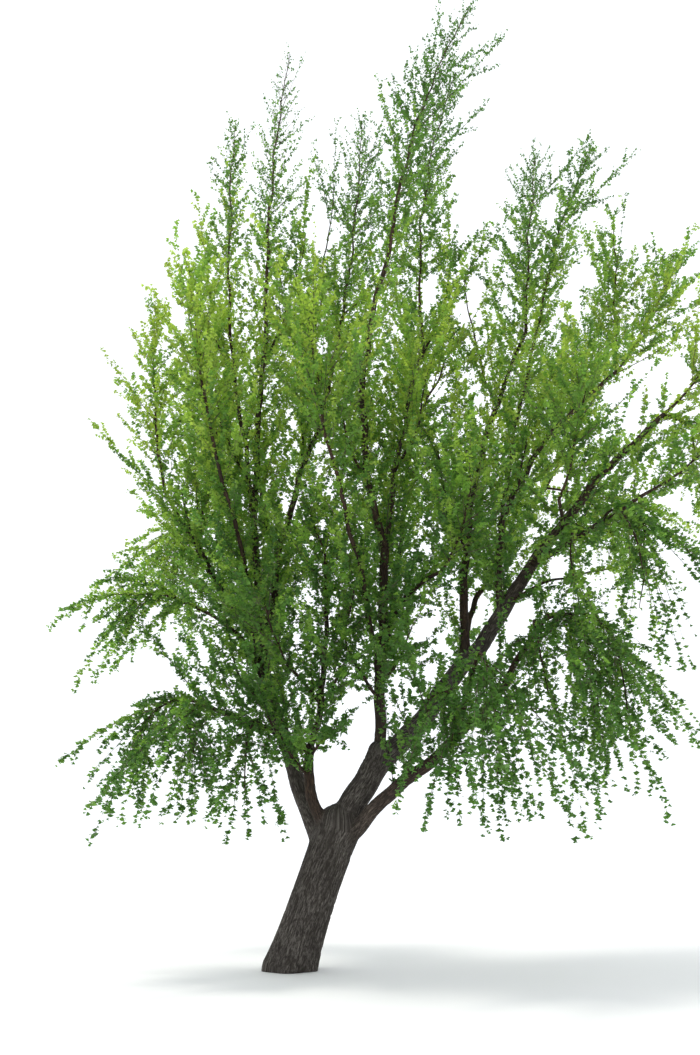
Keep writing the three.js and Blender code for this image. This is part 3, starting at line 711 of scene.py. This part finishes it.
def along_shoots(carriers, per_metre, share, lengths, angles):
    """Side shoots, each shorter the further out it stands on the shoot that carries it."""
    counts = np.round(carriers.length * per_metre).astype(int)
    carrier, order = dealt(counts)
    base = carriers.pick(carrier)
    strayed = order + rng.random(len(base))
    place = SIDE_START + (SIDE_END - SIDE_START) * strayed / counts[carrier]
    along = base.direction(column(place))[:, 0]
    turn = order * GOLDEN_ANGLE + rng.uniform(0, 2 * math.pi, len(counts))[carrier]
    angle = rng.uniform(*angles, len(base))
    heading = unit(along * column(np.cos(angle)) + around(along, turn) * column(np.sin(angle)))
    length = base.length * share * (SIDE_FALL - place) * rng.uniform(*SIDE_STRAYS, len(base))
    length = np.clip(length, *lengths)
    radius = np.minimum(thickness(length, base.radius), slim(TWIG_RADIUS, TWIG_GROWTH, length))
    foot = base.point(column(place))[:, 0]
    return Shoots(foot, heading, length, SIDE_CURL * base.curl, radius, base.spray)


def thinned(shoots, room, gaps):
    """The shoots that have room at some of their places, and stay out of the gaps at others."""
    fits = has_room(shoots.point(room))
    return shoots.pick(fits & outside_gaps(shoots.point(gaps), SHOOT_CLEARING))


def grow():
    """The crown's main shoots, side shoots and twigs."""
    branches = on_limbs(**BRANCHES)
    low = on_limbs(**LIMB_SHOOTS)
    main = Shoots.joined([mass_shoots(), branches, low])
    main = main.pick(outside_gaps(main.point(MAIN_GAPS), SHOOT_CLEARING))
    main.spray = np.arange(len(main))
    side = thinned(along_shoots(main, **SIDES), room=(0.6, 1), gaps=(0.3, 0.6, 1))
    side.spray = len(main) + np.arange(len(side))
    twigs = along_shoots(Shoots.joined([main, side]), **TWIGS)
    return main, side, thinned(twigs, room=(1,), gaps=(0.5, 1))


# Spurs, where clusters of leaves stand: a point, the direction of the wood there, whether it hangs,
# how large its leaves are, and its spray
Spurs = namedtuple("Spurs", "place along hangs size spray")


def spurs_on(shoots):
    counts = np.maximum(1, np.round(shoots.length / SPUR_STEP)).astype(int)
    carrier, order = dealt(counts)
    base = shoots.pick(carrier)
    share = 1 - (order + rng.uniform(0, SPUR_STRAY, len(base))) / counts[carrier]
    place = base.point(column(share))[:, 0]
    along = base.direction(column(share))[:, 0]
    return Spurs(place, along, base.curl < 0, 1 - YOUNG_LEAF * share, base.spray)


def spurs_on_arcs(arcs, per_metre):
    places, alongs = [], []
    for arc in arcs:
        count = int(per_metre * arc.length)
        share = rng.random(count)
        turn = rng.uniform(0, 2 * math.pi, count)
        young = arc.radius(share) < LEAFLESS_RADIUS
        outward = arc.outward(share[young], turn[young])
        places.append(arc.point(share[young]) + outward * column(arc.radius(share[young])))
        alongs.append(outward)
    place, along = np.concatenate(places), np.concatenate(alongs)
    count = len(place)
    return Spurs(place, along, np.zeros(count, bool), np.ones(count), np.full(count, -1))


def make_leaves(spurs):
    """The points of every leaf, (leaves, 4, 3), and each leaf's spray."""
    counts = rng.integers(*LEAVES_PER_SPUR, len(spurs.place))
    spur, order = dealt(counts)
    along = spurs.along[spur]
    turn = order * GOLDEN_ANGLE + rng.uniform(0, 2 * math.pi, len(counts))[spur]
    outward = around(along, turn)
    droop = np.where(spurs.hangs[spur], HANGING_DROOP, LEAF_LIFT)
    strays = rng.normal(0, FORWARD_STRAY, along.shape)
    forward = unit(outward + LEAF_FORWARD * along + strays + upward(droop))
    strays = rng.normal(0, FACING_STRAY, along.shape)
    facing = outward * FACING_OUT + strays + upward(np.ones(len(spur)))
    facing = unit(facing - forward * dot(facing, forward))
    side = np.cross(forward, facing)
    height = np.clip(spurs.place[spur, 2] / cad_box[1][2], 0, 1) ** HIGH_POWER
    length = rng.uniform(*LEAF_LENGTHS, len(spur)) * spurs.size[spur] * (1 - HIGH_LEAF * height)
    shape = np.repeat(LEAF_POINTS[None], len(spur), axis=0)
    shape[:, NOTCH, 1] = rng.uniform(*LEAF_NOTCHES, len(spur))
    corners = (side[:, None] * shape[..., :1] + forward[:, None] * shape[..., 1:2]
               + facing[:, None] * shape[..., 2:])
    root = spurs.place[spur] - along * column(rng.uniform(0, LEAF_SPACING, len(spur)))
    return root[:, None] + corners * length[:, None, None], spurs.spray[spur]


def uncrowded(places):
    """The share of leaves to keep at each place, less where many share a cell."""
    cells = np.floor(places / CROWD_CELL).astype(np.int64)
    _, cell, counts = np.unique(cells, axis=0, return_inverse=True, return_counts=True)
    return np.minimum(1, CROWD / counts[cell.ravel()]) ** CROWD_POWER


def airy(places):
    """The share to keep at each place, less near the tree's top, the more so on its left."""
    missing = np.interp(places[:, 0], (0, AIRY_WIDTH), AIRY_SHARES)
    return 1 - missing * np.clip((places[:, 2] - AIRY_HEIGHT) / AIRY_RISE, 0, 1)


def grow_leaves(main, side, twigs):
    """The leaves of the whole crown, thinned out where they fill gaps or hide what shows."""
    clusters = [spurs_on(part) for part in (main, side, twigs)]
    clusters.append(spurs_on_arcs(limbs.values(), LIMB_SPURS_PER_METRE))
    clusters.append(spurs_on_arcs(stems.values(), STEM_SPURS_PER_METRE))
    corners, sprays = make_leaves(Spurs(*map(np.concatenate, zip(*clusters))))
    kept = in_box(corners).all(1) & outside_gaps(corners[:, [NOTCH]], LEAF_CLEARING)
    corners, sprays = corners[kept], sprays[kept]
    notches = corners[:, NOTCH]
    kept = rng.random(len(corners)) < uncrowded(notches) * airy(notches)
    kept &= beside_limbs(notches)
    kept = np.flatnonzero(kept)
    if len(kept) > LEAF_BUDGET:
        kept = kept[np.sort(rng.permutation(len(kept))[:LEAF_BUDGET])]
    return corners[kept], sprays[kept]


# Meshes


def placed(name, data):
    """A new object in the scene."""
    made = bpy.data.objects.new(name, data)
    bpy.context.scene.collection.objects.link(made)
    return made


def mesh_piece(name, points, *faces):
    """An object from an array of points and arrays of faces, each with one count of corners."""
    mesh = bpy.data.meshes.new(name)
    corners = np.concatenate([f.ravel() for f in faces]).astype(np.int32)
    counts = np.concatenate([np.full(len(f), f.shape[1]) for f in faces])
    starts = np.concatenate([[0], np.cumsum(counts)[:-1]]).astype(np.int32)
    mesh.vertices.add(len(points))
    mesh.vertices.foreach_set("co", points.astype(np.float32).ravel())
    mesh.loops.add(len(corners))
    mesh.loops.foreach_set("vertex_index", corners)
    mesh.polygons.add(len(counts))
    mesh.polygons.foreach_set("loop_start", starts)
    mesh.update(calc_edges=True)
    mesh.validate()
    return placed(name, mesh)


def strands(shoots, steps, sides=3):
    """Closed strands along shoots, each ending in a point: their points and faces."""
    shares = np.linspace(0, 1, steps + 1)
    centre = shoots.point(shares)
    turns = 2 * math.pi * np.arange(sides) / sides
    ring = around(shoots.direction(shares)[:, :, None], turns, STRAND_ASIDE)
    radius = shoots.radius[:, None] + (TIP_RADIUS - shoots.radius[:, None]) * shares
    rings = centre[:, :, None] + ring * radius[:, :, None, None]
    points = np.concatenate([rings[:, :steps].reshape(len(shoots), -1, 3), centre[:, -1:]], axis=1)
    faces = [(2, 1, 0)]
    last = (steps - 1) * sides
    for low in range(last + sides):
        turned = low - low % sides + (low + 1) % sides
        if low < last:
            faces.append((low, turned, turned + sides))
            faces.append((low, turned + sides, low + sides))
        else:
            faces.append((low, turned, last + sides))
    starts = np.arange(len(shoots))[:, None, None] * points.shape[1]
    return points.reshape(-1, 3), (starts + np.array(faces)).reshape(-1, 3)


def gathered(meshes):
    """Several meshes as one: points and the arrays of faces, side by side."""
    offsets = np.cumsum([0] + [len(m[0]) for m in meshes])[:-1]
    points = np.concatenate([m[0] for m in meshes])
    return points, *(np.concatenate([m[k] + o for m, o in zip(meshes, offsets)])
                     for k in range(1, len(meshes[0])))


# Bark. Of two numbers, the first is for wood of no radius, and the second what each metre adds.
BARK_RELIEF = 0.02  # the depth of the deepest fissures
YOUNG_RELIEF = (0.002, 0.05)
RIDGE_WIDTH = (0.016, 0.03)
RIDGE_STRETCH = (1, 1, 0.14)  # ridges are long, along the limb
SWAY = 0.5  # how far ridges sway, against their width, in noise of this scale and shift
SWAY_SCALE = 0.6
SWAY_SHIFT = 5
FISSURE_STEEPNESS = 1.5
FISSURE_WIDTH = 0.45
FISSURE_POWER = 0.8
FISSURE_SHARE = 0.85  # the rest of the relief is grain, so much finer
FINE_SHARE = 0.15
FINE_SCALE = 2.3
GRAIN_SHIFT = 9  # so that no two limbs have the same grain
OLD_RADIUS = 0.15
YOUNG_RADIUS = 0.09

# The fork's mesh: how much of each limb is in it, and how it is made
FORK_LIMBS = {"trunk": 1, "main_stem": 1, "grey_stem": 0.3, "left_stem": 0.5,
              "low_right_bough": 0.28, "right_bough": 0.3}
FORK_TUBE = {"ring_step": 0.1, "sides": 24, "with_relief": False}
VOXEL = 0.018
FILLET = 0.025
REMESHINGS = 2
FITTINGS = 3  # how often its points are drawn to the skin after each of them
AXIS_STEPS = 32

# The meshes of the other limbs and of the stems
FORK_OVERLAP = 0.03  # a limb's share that the fork's mesh has too
BURIED_SHARE = 0.5  # of a buried foot, what its mesh leaves out
LIMB_SIDES = (10, 60)  # at no radius, and what each metre of radius adds
SIDES_RANGE = (12, 20)
RING_STEPS = (0.06, 0.1)  # on old and on young wood
STEM_TUBE = {"ring_step": 0.14, "sides": 7, "with_relief": False}
COLLAR = 0.35  # how much a limb swells at its foot, and over what length, against its radius there
COLLAR_FADE = 1.2
TIP_BULGE = 0.5


def grain_of(arc, share, turn):
    """Coordinates that run along a limb and round it, so that its bark can follow it."""
    girth = arc.radius(share)
    along = share * arc.length + arc.phases[0] * GRAIN_SHIFT
    return np.stack([np.sin(turn) * girth, np.cos(turn) * girth, along], -1)


def relief(arc, share, turn):
    """How high a limb's skin lies against its ridges, and how deep in a fissure, from 0 to 1."""
    radius = arc.radius(share)
    width = RIDGE_WIDTH[0] + RIDGE_WIDTH[1] * radius
    local = grain_of(arc, share, turn) * RIDGE_STRETCH / column(width)
    local = local + column(SWAY * noise(local * SWAY_SCALE + SWAY_SHIFT, seed=3))
    crossing = np.abs(noise(local, seed=1)) * FISSURE_STEEPNESS
    fissure = np.clip(1 - crossing / FISSURE_WIDTH, 0, 1) ** FISSURE_POWER
    fine = noise(local * FINE_SCALE, seed=2)
    depth = fissure * FISSURE_SHARE + FINE_SHARE * (0.5 + 0.5 * fine)
    return -depth * np.minimum(BARK_RELIEF, YOUNG_RELIEF[0] + YOUNG_RELIEF[1] * radius), depth


def youth_of(arc, share):
    """0 for the grey bark of old wood, 1 for the brown bark of young wood."""
    return np.clip((OLD_RADIUS - arc.radius(share)) / (OLD_RADIUS - YOUNG_RADIUS), 0, 1)


def closest(arc, points, last):
    """The nearest place on an arc's axis: its share, the turn about it and the way from it."""
    joints = arc.point(np.linspace(0, last, AXIS_STEPS + 1))
    start, run = joints[:-1], np.diff(joints, axis=0)
    offset = points[:, None] - start
    part = np.clip((offset * run).sum(-1) / (run**2).sum(-1), 0, 1)
    gap = np.linalg.norm(offset - run * part[..., None], axis=-1)
    best = gap.argmin(1)
    share = (best + part[np.arange(len(points)), best]) * last / AXIS_STEPS
    away = points - arc.point(share)
    across, over = arc.sides(share)
    turn = np.arctan2((away * across).sum(-1), (away * over).sum(-1))
    return share, turn, away


def fork_skin(points):
    """Distance outside the joined limbs and the direction away, with what the bark needs there."""
    rows = []
    for name, last in FORK_LIMBS.items():
        arc = limbs[name]
        share, turn, away = closest(arc, points, last)
        gap = np.linalg.norm(away, axis=1) - arc.radius(share, turn)
        grain = grain_of(arc, share, turn)
        rows.append((gap, unit(away), *relief(arc, share, turn), youth_of(arc, share), grain))
    gaps, aways, heights, depths, youths, grains = (np.array(values) for values in zip(*rows))
    least = gaps.min(0)
    weights = np.exp(-(gaps - least) / FILLET)
    skin = least - FILLET * np.log(weights.sum(0))
    weights /= weights.sum(0)
    blended = [(values * weights).sum(0) for values in (heights, depths, youths)]
    away = unit((aways * weights[..., None]).sum(0))
    return skin, away, *blended, grains[gaps.argmin(0), np.arange(len(points))]


def tube(arc, first, last, ring_step, sides, with_relief=True):
    """A closed tube along part of an arc: points, quads, triangles, and each point's looks."""
    rings = max(3, int((last - first) * arc.length / ring_step))
    turns = 2 * math.pi * np.arange(sides) / sides
    grid = np.meshgrid(np.linspace(first, last, rings + 1), turns, indexing="ij")
    share, turn = (values.ravel() for values in grid)
    across, over = arc.sides(share)
    outward = across * column(np.sin(turn)) + over * column(np.cos(turn))
    radius = arc.radius(share, turn)
    if arc.buried:
        foot = arc.radii[0]
        clear = np.maximum(0, share * arc.length - arc.buried)
        radius = radius + COLLAR * foot * np.exp(-clear / (COLLAR_FADE * foot))
    height, depth = relief(arc, share, turn) if with_relief else (0 * share, 0 * share)
    points = arc.point(share) + outward * column(radius + height)
    tip = arc.point(last) + arc.direction(last) * arc.radius(last) * TIP_BULGE
    order = np.arange(rings * sides).reshape(rings, sides)
    turned = np.roll(order, -1, axis=1)
    quads = np.stack([order, order + sides, turned + sides, turned], -1).reshape(-1, 4)
    foot_ring = np.arange(sides)
    tip_ring = rings * sides + foot_ring
    centre = (rings + 1) * sides
    tris = np.concatenate([
        np.stack([foot_ring, np.roll(foot_ring, -1), np.full(sides, centre)], -1),
        np.stack([np.roll(tip_ring, -1), tip_ring, np.full(sides, centre + 1)], -1),
    ])
    looks = np.column_stack([depth, youth_of(arc, share), grain_of(arc, share, turn)])
    points = np.concatenate([points, [arc.point(first), tip]])
    return points, quads, tris, np.concatenate([looks, looks[[0, -1]]])


def bark_piece(name, tubes):
    *shape, looks = (list(part) for part in zip(*tubes))
    return finish_bark(mesh_piece(name, *gathered(list(zip(*shape)))), np.concatenate(looks))


def remesh(piece):
    """Leaves only the outer skin of a piece's overlapping closed shapes, in even faces."""
    modifier = piece.modifiers.new("remesh", "REMESH")
    modifier.mode = "VOXEL"
    modifier.voxel_size = VOXEL
    graph = bpy.context.evaluated_depsgraph_get()
    made = bpy.data.meshes.new_from_object(piece.evaluated_get(graph))
    piece.modifiers.remove(modifier)
    piece.data = made


def points_of(piece):
    points = np.empty(len(piece.data.vertices) * 3, np.float32)
    piece.data.vertices.foreach_get("co", points)
    return points.reshape(-1, 3).astype(float)


def set_points(piece, points):
    """Moves a piece's points to these places, but none below the ground."""
    points[:, 2] = np.maximum(points[:, 2], 0)
    piece.data.vertices.foreach_set("co", points.astype(np.float32).ravel())
    piece.data.update()


def finish_bark(piece, looks):
    """Stores each point's fissure depth, youth and grain for the material to read."""
    depth, youth, grain = looks[:, 0], looks[:, 1], looks[:, 2:]
    stores = [("fissure", "FLOAT", "value", depth), ("youth", "FLOAT", "value", youth),
              ("grain", "FLOAT_VECTOR", "vector", grain)]
    for name, kind, key, values in stores:
        stored = piece.data.attributes.new(name, kind, "POINT")
        stored.data.foreach_set(key, values.astype(np.float32).ravel())
    piece.data.polygons.foreach_set("use_smooth", np.ones(len(piece.data.polygons), bool))
    return piece


def make_fork():
    """The trunk and the feet of its boughs as one skin with fillets in the forks."""
    tubes = [tube(limbs[name], 0, last, **FORK_TUBE)[:3] for name, last in FORK_LIMBS.items()]
    piece = mesh_piece("bark_trunk", *gathered(tubes))
    for _ in range(REMESHINGS):
        remesh(piece)
        points = points_of(piece)
        for _ in range(FITTINGS):
            gap, away, *_ = fork_skin(points)
            points = points - away * column(gap)
        set_points(piece, points)
    _, away, height, *looks = fork_skin(points)
    set_points(piece, points + away * column(height))
    return finish_bark(piece, np.column_stack(looks))


def make_boughs():
    """The other limbs, and the rest of those that start in the fork."""
    tubes = []
    for name, arc in limbs.items():
        if FORK_LIMBS.get(name) == 1:
            continue
        first = BURIED_SHARE * arc.buried / arc.length
        if name in FORK_LIMBS:
            first = FORK_LIMBS[name] - FORK_OVERLAP
        foot = arc.radii[0]
        sides = int(np.clip(LIMB_SIDES[0] + LIMB_SIDES[1] * foot, *SIDES_RANGE))
        tubes.append(tube(arc, first, 1, RING_STEPS[foot <= YOUNG_RADIUS], sides))
    return bark_piece("bark_boughs", tubes)


# Materials


class Look:
    """A material being made. A node's inputs are values, colours or other nodes' outputs."""

    def __init__(self, name):
        self.material = bpy.data.materials.new(name)
        self.material.use_nodes = True
        self.material.node_tree.nodes.clear()

    def node(self, kind, inputs, **settings):
        tree = self.material.node_tree
        made = tree.nodes.new("ShaderNode" + kind)
        for key, value in settings.items():
            setattr(made, key, value)
        for key, value in inputs.items():
            if isinstance(value, bpy.types.NodeSocket):
                tree.links.new(value, made.inputs[key])
            else:
                made.inputs[key].default_value = value
        return made.outputs

    def attribute(self, name, output):
        return self.node("Attribute", {}, attribute_name=name)[output]

    def noise(self, vector, scale, detail, **inputs):
        inputs = {"Vector": vector, "Scale": scale, "Detail": detail, **inputs}
        return self.node("TexNoise", inputs)["Fac"]

    def noise_along(self, grain, scales, detail):
        """Noise that is stretched along a limb."""
        place = self.node("Mapping", {"Vector": grain, "Scale": scales})["Vector"]
        return self.noise(place, scale=1.0, detail=detail, Roughness=0.6)

    def noise_in_space(self, scale, detail):
        return self.noise(self.node("TexCoord", {})["Object"], scale, detail)

    def ramp(self, factor, *colors, places=(0.35, 0.65)):
        """A colour ramp with these colours at these places."""
        output = self.node("ValToRGB", {"Fac": factor})["Color"]
        elements = output.node.color_ramp.elements
        for index, (place, color) in enumerate(zip(places, colors)):
            element = elements[index] if index < 2 else elements.new(place)
            element.position = place
            element.color = (*color, 1)
        return output

    def mix(self, kind, factor, first, second):
        inputs = {0: factor, 6: first, 7: second}
        return self.node("Mix", inputs, data_type="RGBA", blend_type=kind)[2]

    def finish(self, shader):
        self.node("OutputMaterial", {"Surface": shader[0]})
        return self.material


YOUNG_TINT = (0.66, 0.46, 0.36, 1)
FISSURE_SHADE_COLOR = (0.03, 0.025, 0.021, 1)
RIDGE_TONES_AND_GROOVE_SHADE = [(0.021, 0.018, 0.016), (0.07, 0.063, 0.057), (0.195, 0.18, 0.165)]


def bark_material():
    """Grey ridges and fissures that follow each limb, browner on young wood, with painted shade: deeper
    fissures and the grooves of the bump are painted darker.
    """
    look = Look("bark")
    grain = look.attribute("grain", "Vector")
    ridges = look.noise_along(grain, scales=(64, 64, 11), detail=5)
    patches = look.noise_along(grain, scales=(3, 3, 1.5), detail=3)
    specks = look.noise_along(grain, scales=(150, 150, 60), detail=3)
    # the ramp's grey streaks are the bark's own tone; its darkest end, where the bump sinks, is painted
    # shade in the grooves
    color = look.ramp(ridges, *RIDGE_TONES_AND_GROOVE_SHADE, places=(0.34, 0.47, 0.7))
    color = look.mix("MULTIPLY", 1, color, look.ramp(patches, (0.72, 0.7, 0.68), (1.1, 1.08, 1.05)))
    color = look.mix("MULTIPLY", 1, color, look.ramp(specks, (0.7, 0.7, 0.7), (1.2, 1.2, 1.2)))
    brown = look.mix("MULTIPLY", 1, color, YOUNG_TINT)
    color = look.mix("MIX", look.attribute("youth", "Fac"), color, brown)
    # painted shade: the deeper a fissure of the relief, the darker it is painted
    color = look.mix("MIX", look.attribute("fissure", "Fac"), color, FISSURE_SHADE_COLOR)
    bump = look.node("Bump", {"Height": ridges, "Strength": 0.6, "Distance": 0.008})
    inputs = {"Base Color": color, "Normal": bump["Normal"], "Roughness": 0.9}
    inputs["Specular IOR Level"] = 0.15
    return look.finish(look.node("BsdfPrincipled", inputs))


def twig_material():
    look = Look("twig")
    patches = look.noise_in_space(scale=3.0, detail=3.0)
    color = look.ramp(patches, (0.06, 0.045, 0.03), (0.15, 0.12, 0.08))
    return look.finish(look.node("BsdfPrincipled", {"Base Color": color, "Roughness": 0.8}))


# Leaves, from deep green to yellow-green: the deepest tints stand partly for painted shade and the
# brightest partly for painted sunlit highlights
LEAF_TINTS = [
    (0.066, 0.166, 0.034),
    (0.096, 0.218, 0.042),
    (0.125, 0.262, 0.048),
    (0.155, 0.304, 0.053),
    (0.19, 0.344, 0.058),
    (0.235, 0.384, 0.064),
    (0.295, 0.432, 0.074),
]
TINT_RANGE = (0.8, 1.2)  # how far each tint goes, against itself
GLOW = 0.5  # the share of light that goes through a leaf, and what it does to the tint
GLOW_TINT = (1.75, 1.6, 1.0, 1)


def leaf_material(name, tint):
    look = Look(name)
    patches = look.noise_in_space(scale=2.2, detail=2.0)
    color = look.ramp(patches, *(tuple(share * value for value in tint) for share in TINT_RANGE))
    inputs = {"Base Color": color, "Roughness": 0.5, "Specular IOR Level": 0.45}
    surface = look.node("BsdfPrincipled", inputs)
    glow = look.node("BsdfTranslucent", {"Color": look.mix("MULTIPLY", 1, color, GLOW_TINT)})
    return look.finish(look.node("MixShader", {"Fac": GLOW, 1: surface[0], 2: glow[0]}))


# How sprays are dealt out over the tints, as painted sunlight and shade: the brightest, painted sunlit,
# are half way up, outside and on the left, darker ones paint shade below, above and inside the crown,
# and each spray's luck is its own tone
SUNLIT_HEIGHT = 0.55  # against the tree's height
SHADE_FALL_ABOVE = 3.6
SHADE_FALL_BELOW = 2.6
LIGHT_BY_HEIGHT_WEIGHT = 0.55
LIGHT_BY_OUTSIDE_WEIGHT = 0.06
LIGHT_BY_LEFT_WEIGHT = 0.06
CROWN_MIDDLE = 2.2
CROWN_RADIUS = 6
CROWN_REACH = 10
SPRAY_LUCK = 0.3


def tints_with_painted_light(sprays, corners):
    """The number of each leaf's tint: painted sunlight and shade by where it hangs, with each spray's
    own luck.
    """
    centre = corners.mean(1)
    above = centre[:, 2] / cad_box[1][2] - SUNLIT_HEIGHT
    height = 1 - np.where(above > 0, SHADE_FALL_ABOVE, SHADE_FALL_BELOW) * np.abs(above)
    left = -centre[:, 0] / CROWN_REACH
    outside = np.hypot(centre[:, 0] - CROWN_MIDDLE, centre[:, 1]) / CROWN_RADIUS
    luck = rng.uniform(-SPRAY_LUCK, SPRAY_LUCK, sprays.max() + 2)[sprays]
    # painted light: leaves get brighter tints where sunlight is painted on and darker tints where shade
    # is painted on
    painted_light_score = LIGHT_BY_HEIGHT_WEIGHT * height + LIGHT_BY_OUTSIDE_WEIGHT * outside + LIGHT_BY_LEFT_WEIGHT * left + luck
    return np.argsort(np.argsort(painted_light_score)) * len(LEAF_TINTS) // len(painted_light_score)


# The tree


def dress(piece, material, slot, *nodes):
    piece.data.materials.append(material)
    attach(piece, "root")
    if nodes:
        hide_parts(*nodes)


def build_wood(main, side, twigs):
    bark = bark_material()
    twig = twig_material()
    dress(make_fork(), bark, "bark", *FORK_LIMBS)
    others = [row[0] for row in LIMBS if row[0] not in FORK_LIMBS]
    dress(make_boughs(), bark, "bark", *others)
    tubes = [tube(arc, 0, 1, **STEM_TUBE) for arc in stems.values()]
    dress(bark_piece("bark_stems", tubes), bark, "bark")
    shoots = mesh_piece("shoots", *gathered([strands(main, 3), strands(side, 2)]))
    dress(shoots, twig, "foliage", *(row[0] for row in MASSES))
    dress(mesh_piece("twigs", *strands(twigs, 1)), twig, "foliage")


def build_leaves(main, side, twigs):
    corners, sprays = grow_leaves(main, side, twigs)
    tints = tints_with_painted_light(sprays, corners)
    for index, tint in enumerate(LEAF_TINTS):
        mine = corners[tints == index]
        starts = (np.arange(len(mine)) * len(LEAF_POINTS))[:, None, None]
        name = f"leaves_{index + 1}"
        piece = mesh_piece(name, mine.reshape(-1, 3), (starts + LEAF_FACES).reshape(-1, 3))
        dress(piece, leaf_material(name, tint), "foliage")


# The stage
FLOOR_REACH = 150.0
FLOOR_DEPTH = 0.002
SUN_TRAVEL = (0.36, 0, -0.93)


def make_floor():
    corners = np.array([(-1, -1, 0), (1, -1, 0), (1, 1, 0), (-1, 1, 0)]) * FLOOR_REACH
    floor = mesh_piece("floor", corners - (0, 0, FLOOR_DEPTH), np.array([(0, 1, 2, 3)]))
    look = Look("floor")
    paint = look.node("BsdfPrincipled", {"Base Color": (0.78, 0.78, 0.77, 1), "Roughness": 0.9})
    floor.data.materials.append(look.finish(paint))


def make_light():
    world = bpy.data.worlds.new("studio")
    world.use_nodes = True
    sky = world.node_tree.nodes["Background"]
    sky.inputs["Color"].default_value = (0.93, 0.96, 1.0, 1)
    sky.inputs["Strength"].default_value = 1.3
    bpy.context.scene.world = world
    sun = bpy.data.lights.new("sun", "SUN")
    sun.energy = 1.4
    sun.angle = math.radians(12)
    sun.color = (1.0, 0.97, 0.9)
    placed("sun", sun).rotation_euler = Vector(SUN_TRAVEL).to_track_quat("-Z", "Y").to_euler()


def make_camera():
    camera = bpy.data.cameras.new("camera")
    camera.sensor_width = 36
    camera.lens = FOCAL_SHARE * camera.sensor_width
    camera.clip_end = 400
    holder = placed("camera", camera)
    holder.location = EYE
    holder.rotation_euler = (math.pi / 2 + PITCH, 0, 0)
    bpy.context.scene.camera = holder


grown = grow()
build_wood(*grown)
build_leaves(*grown)
make_floor()
make_light()
make_camera()
bpy.context.scene.view_settings.view_transform = "Standard"
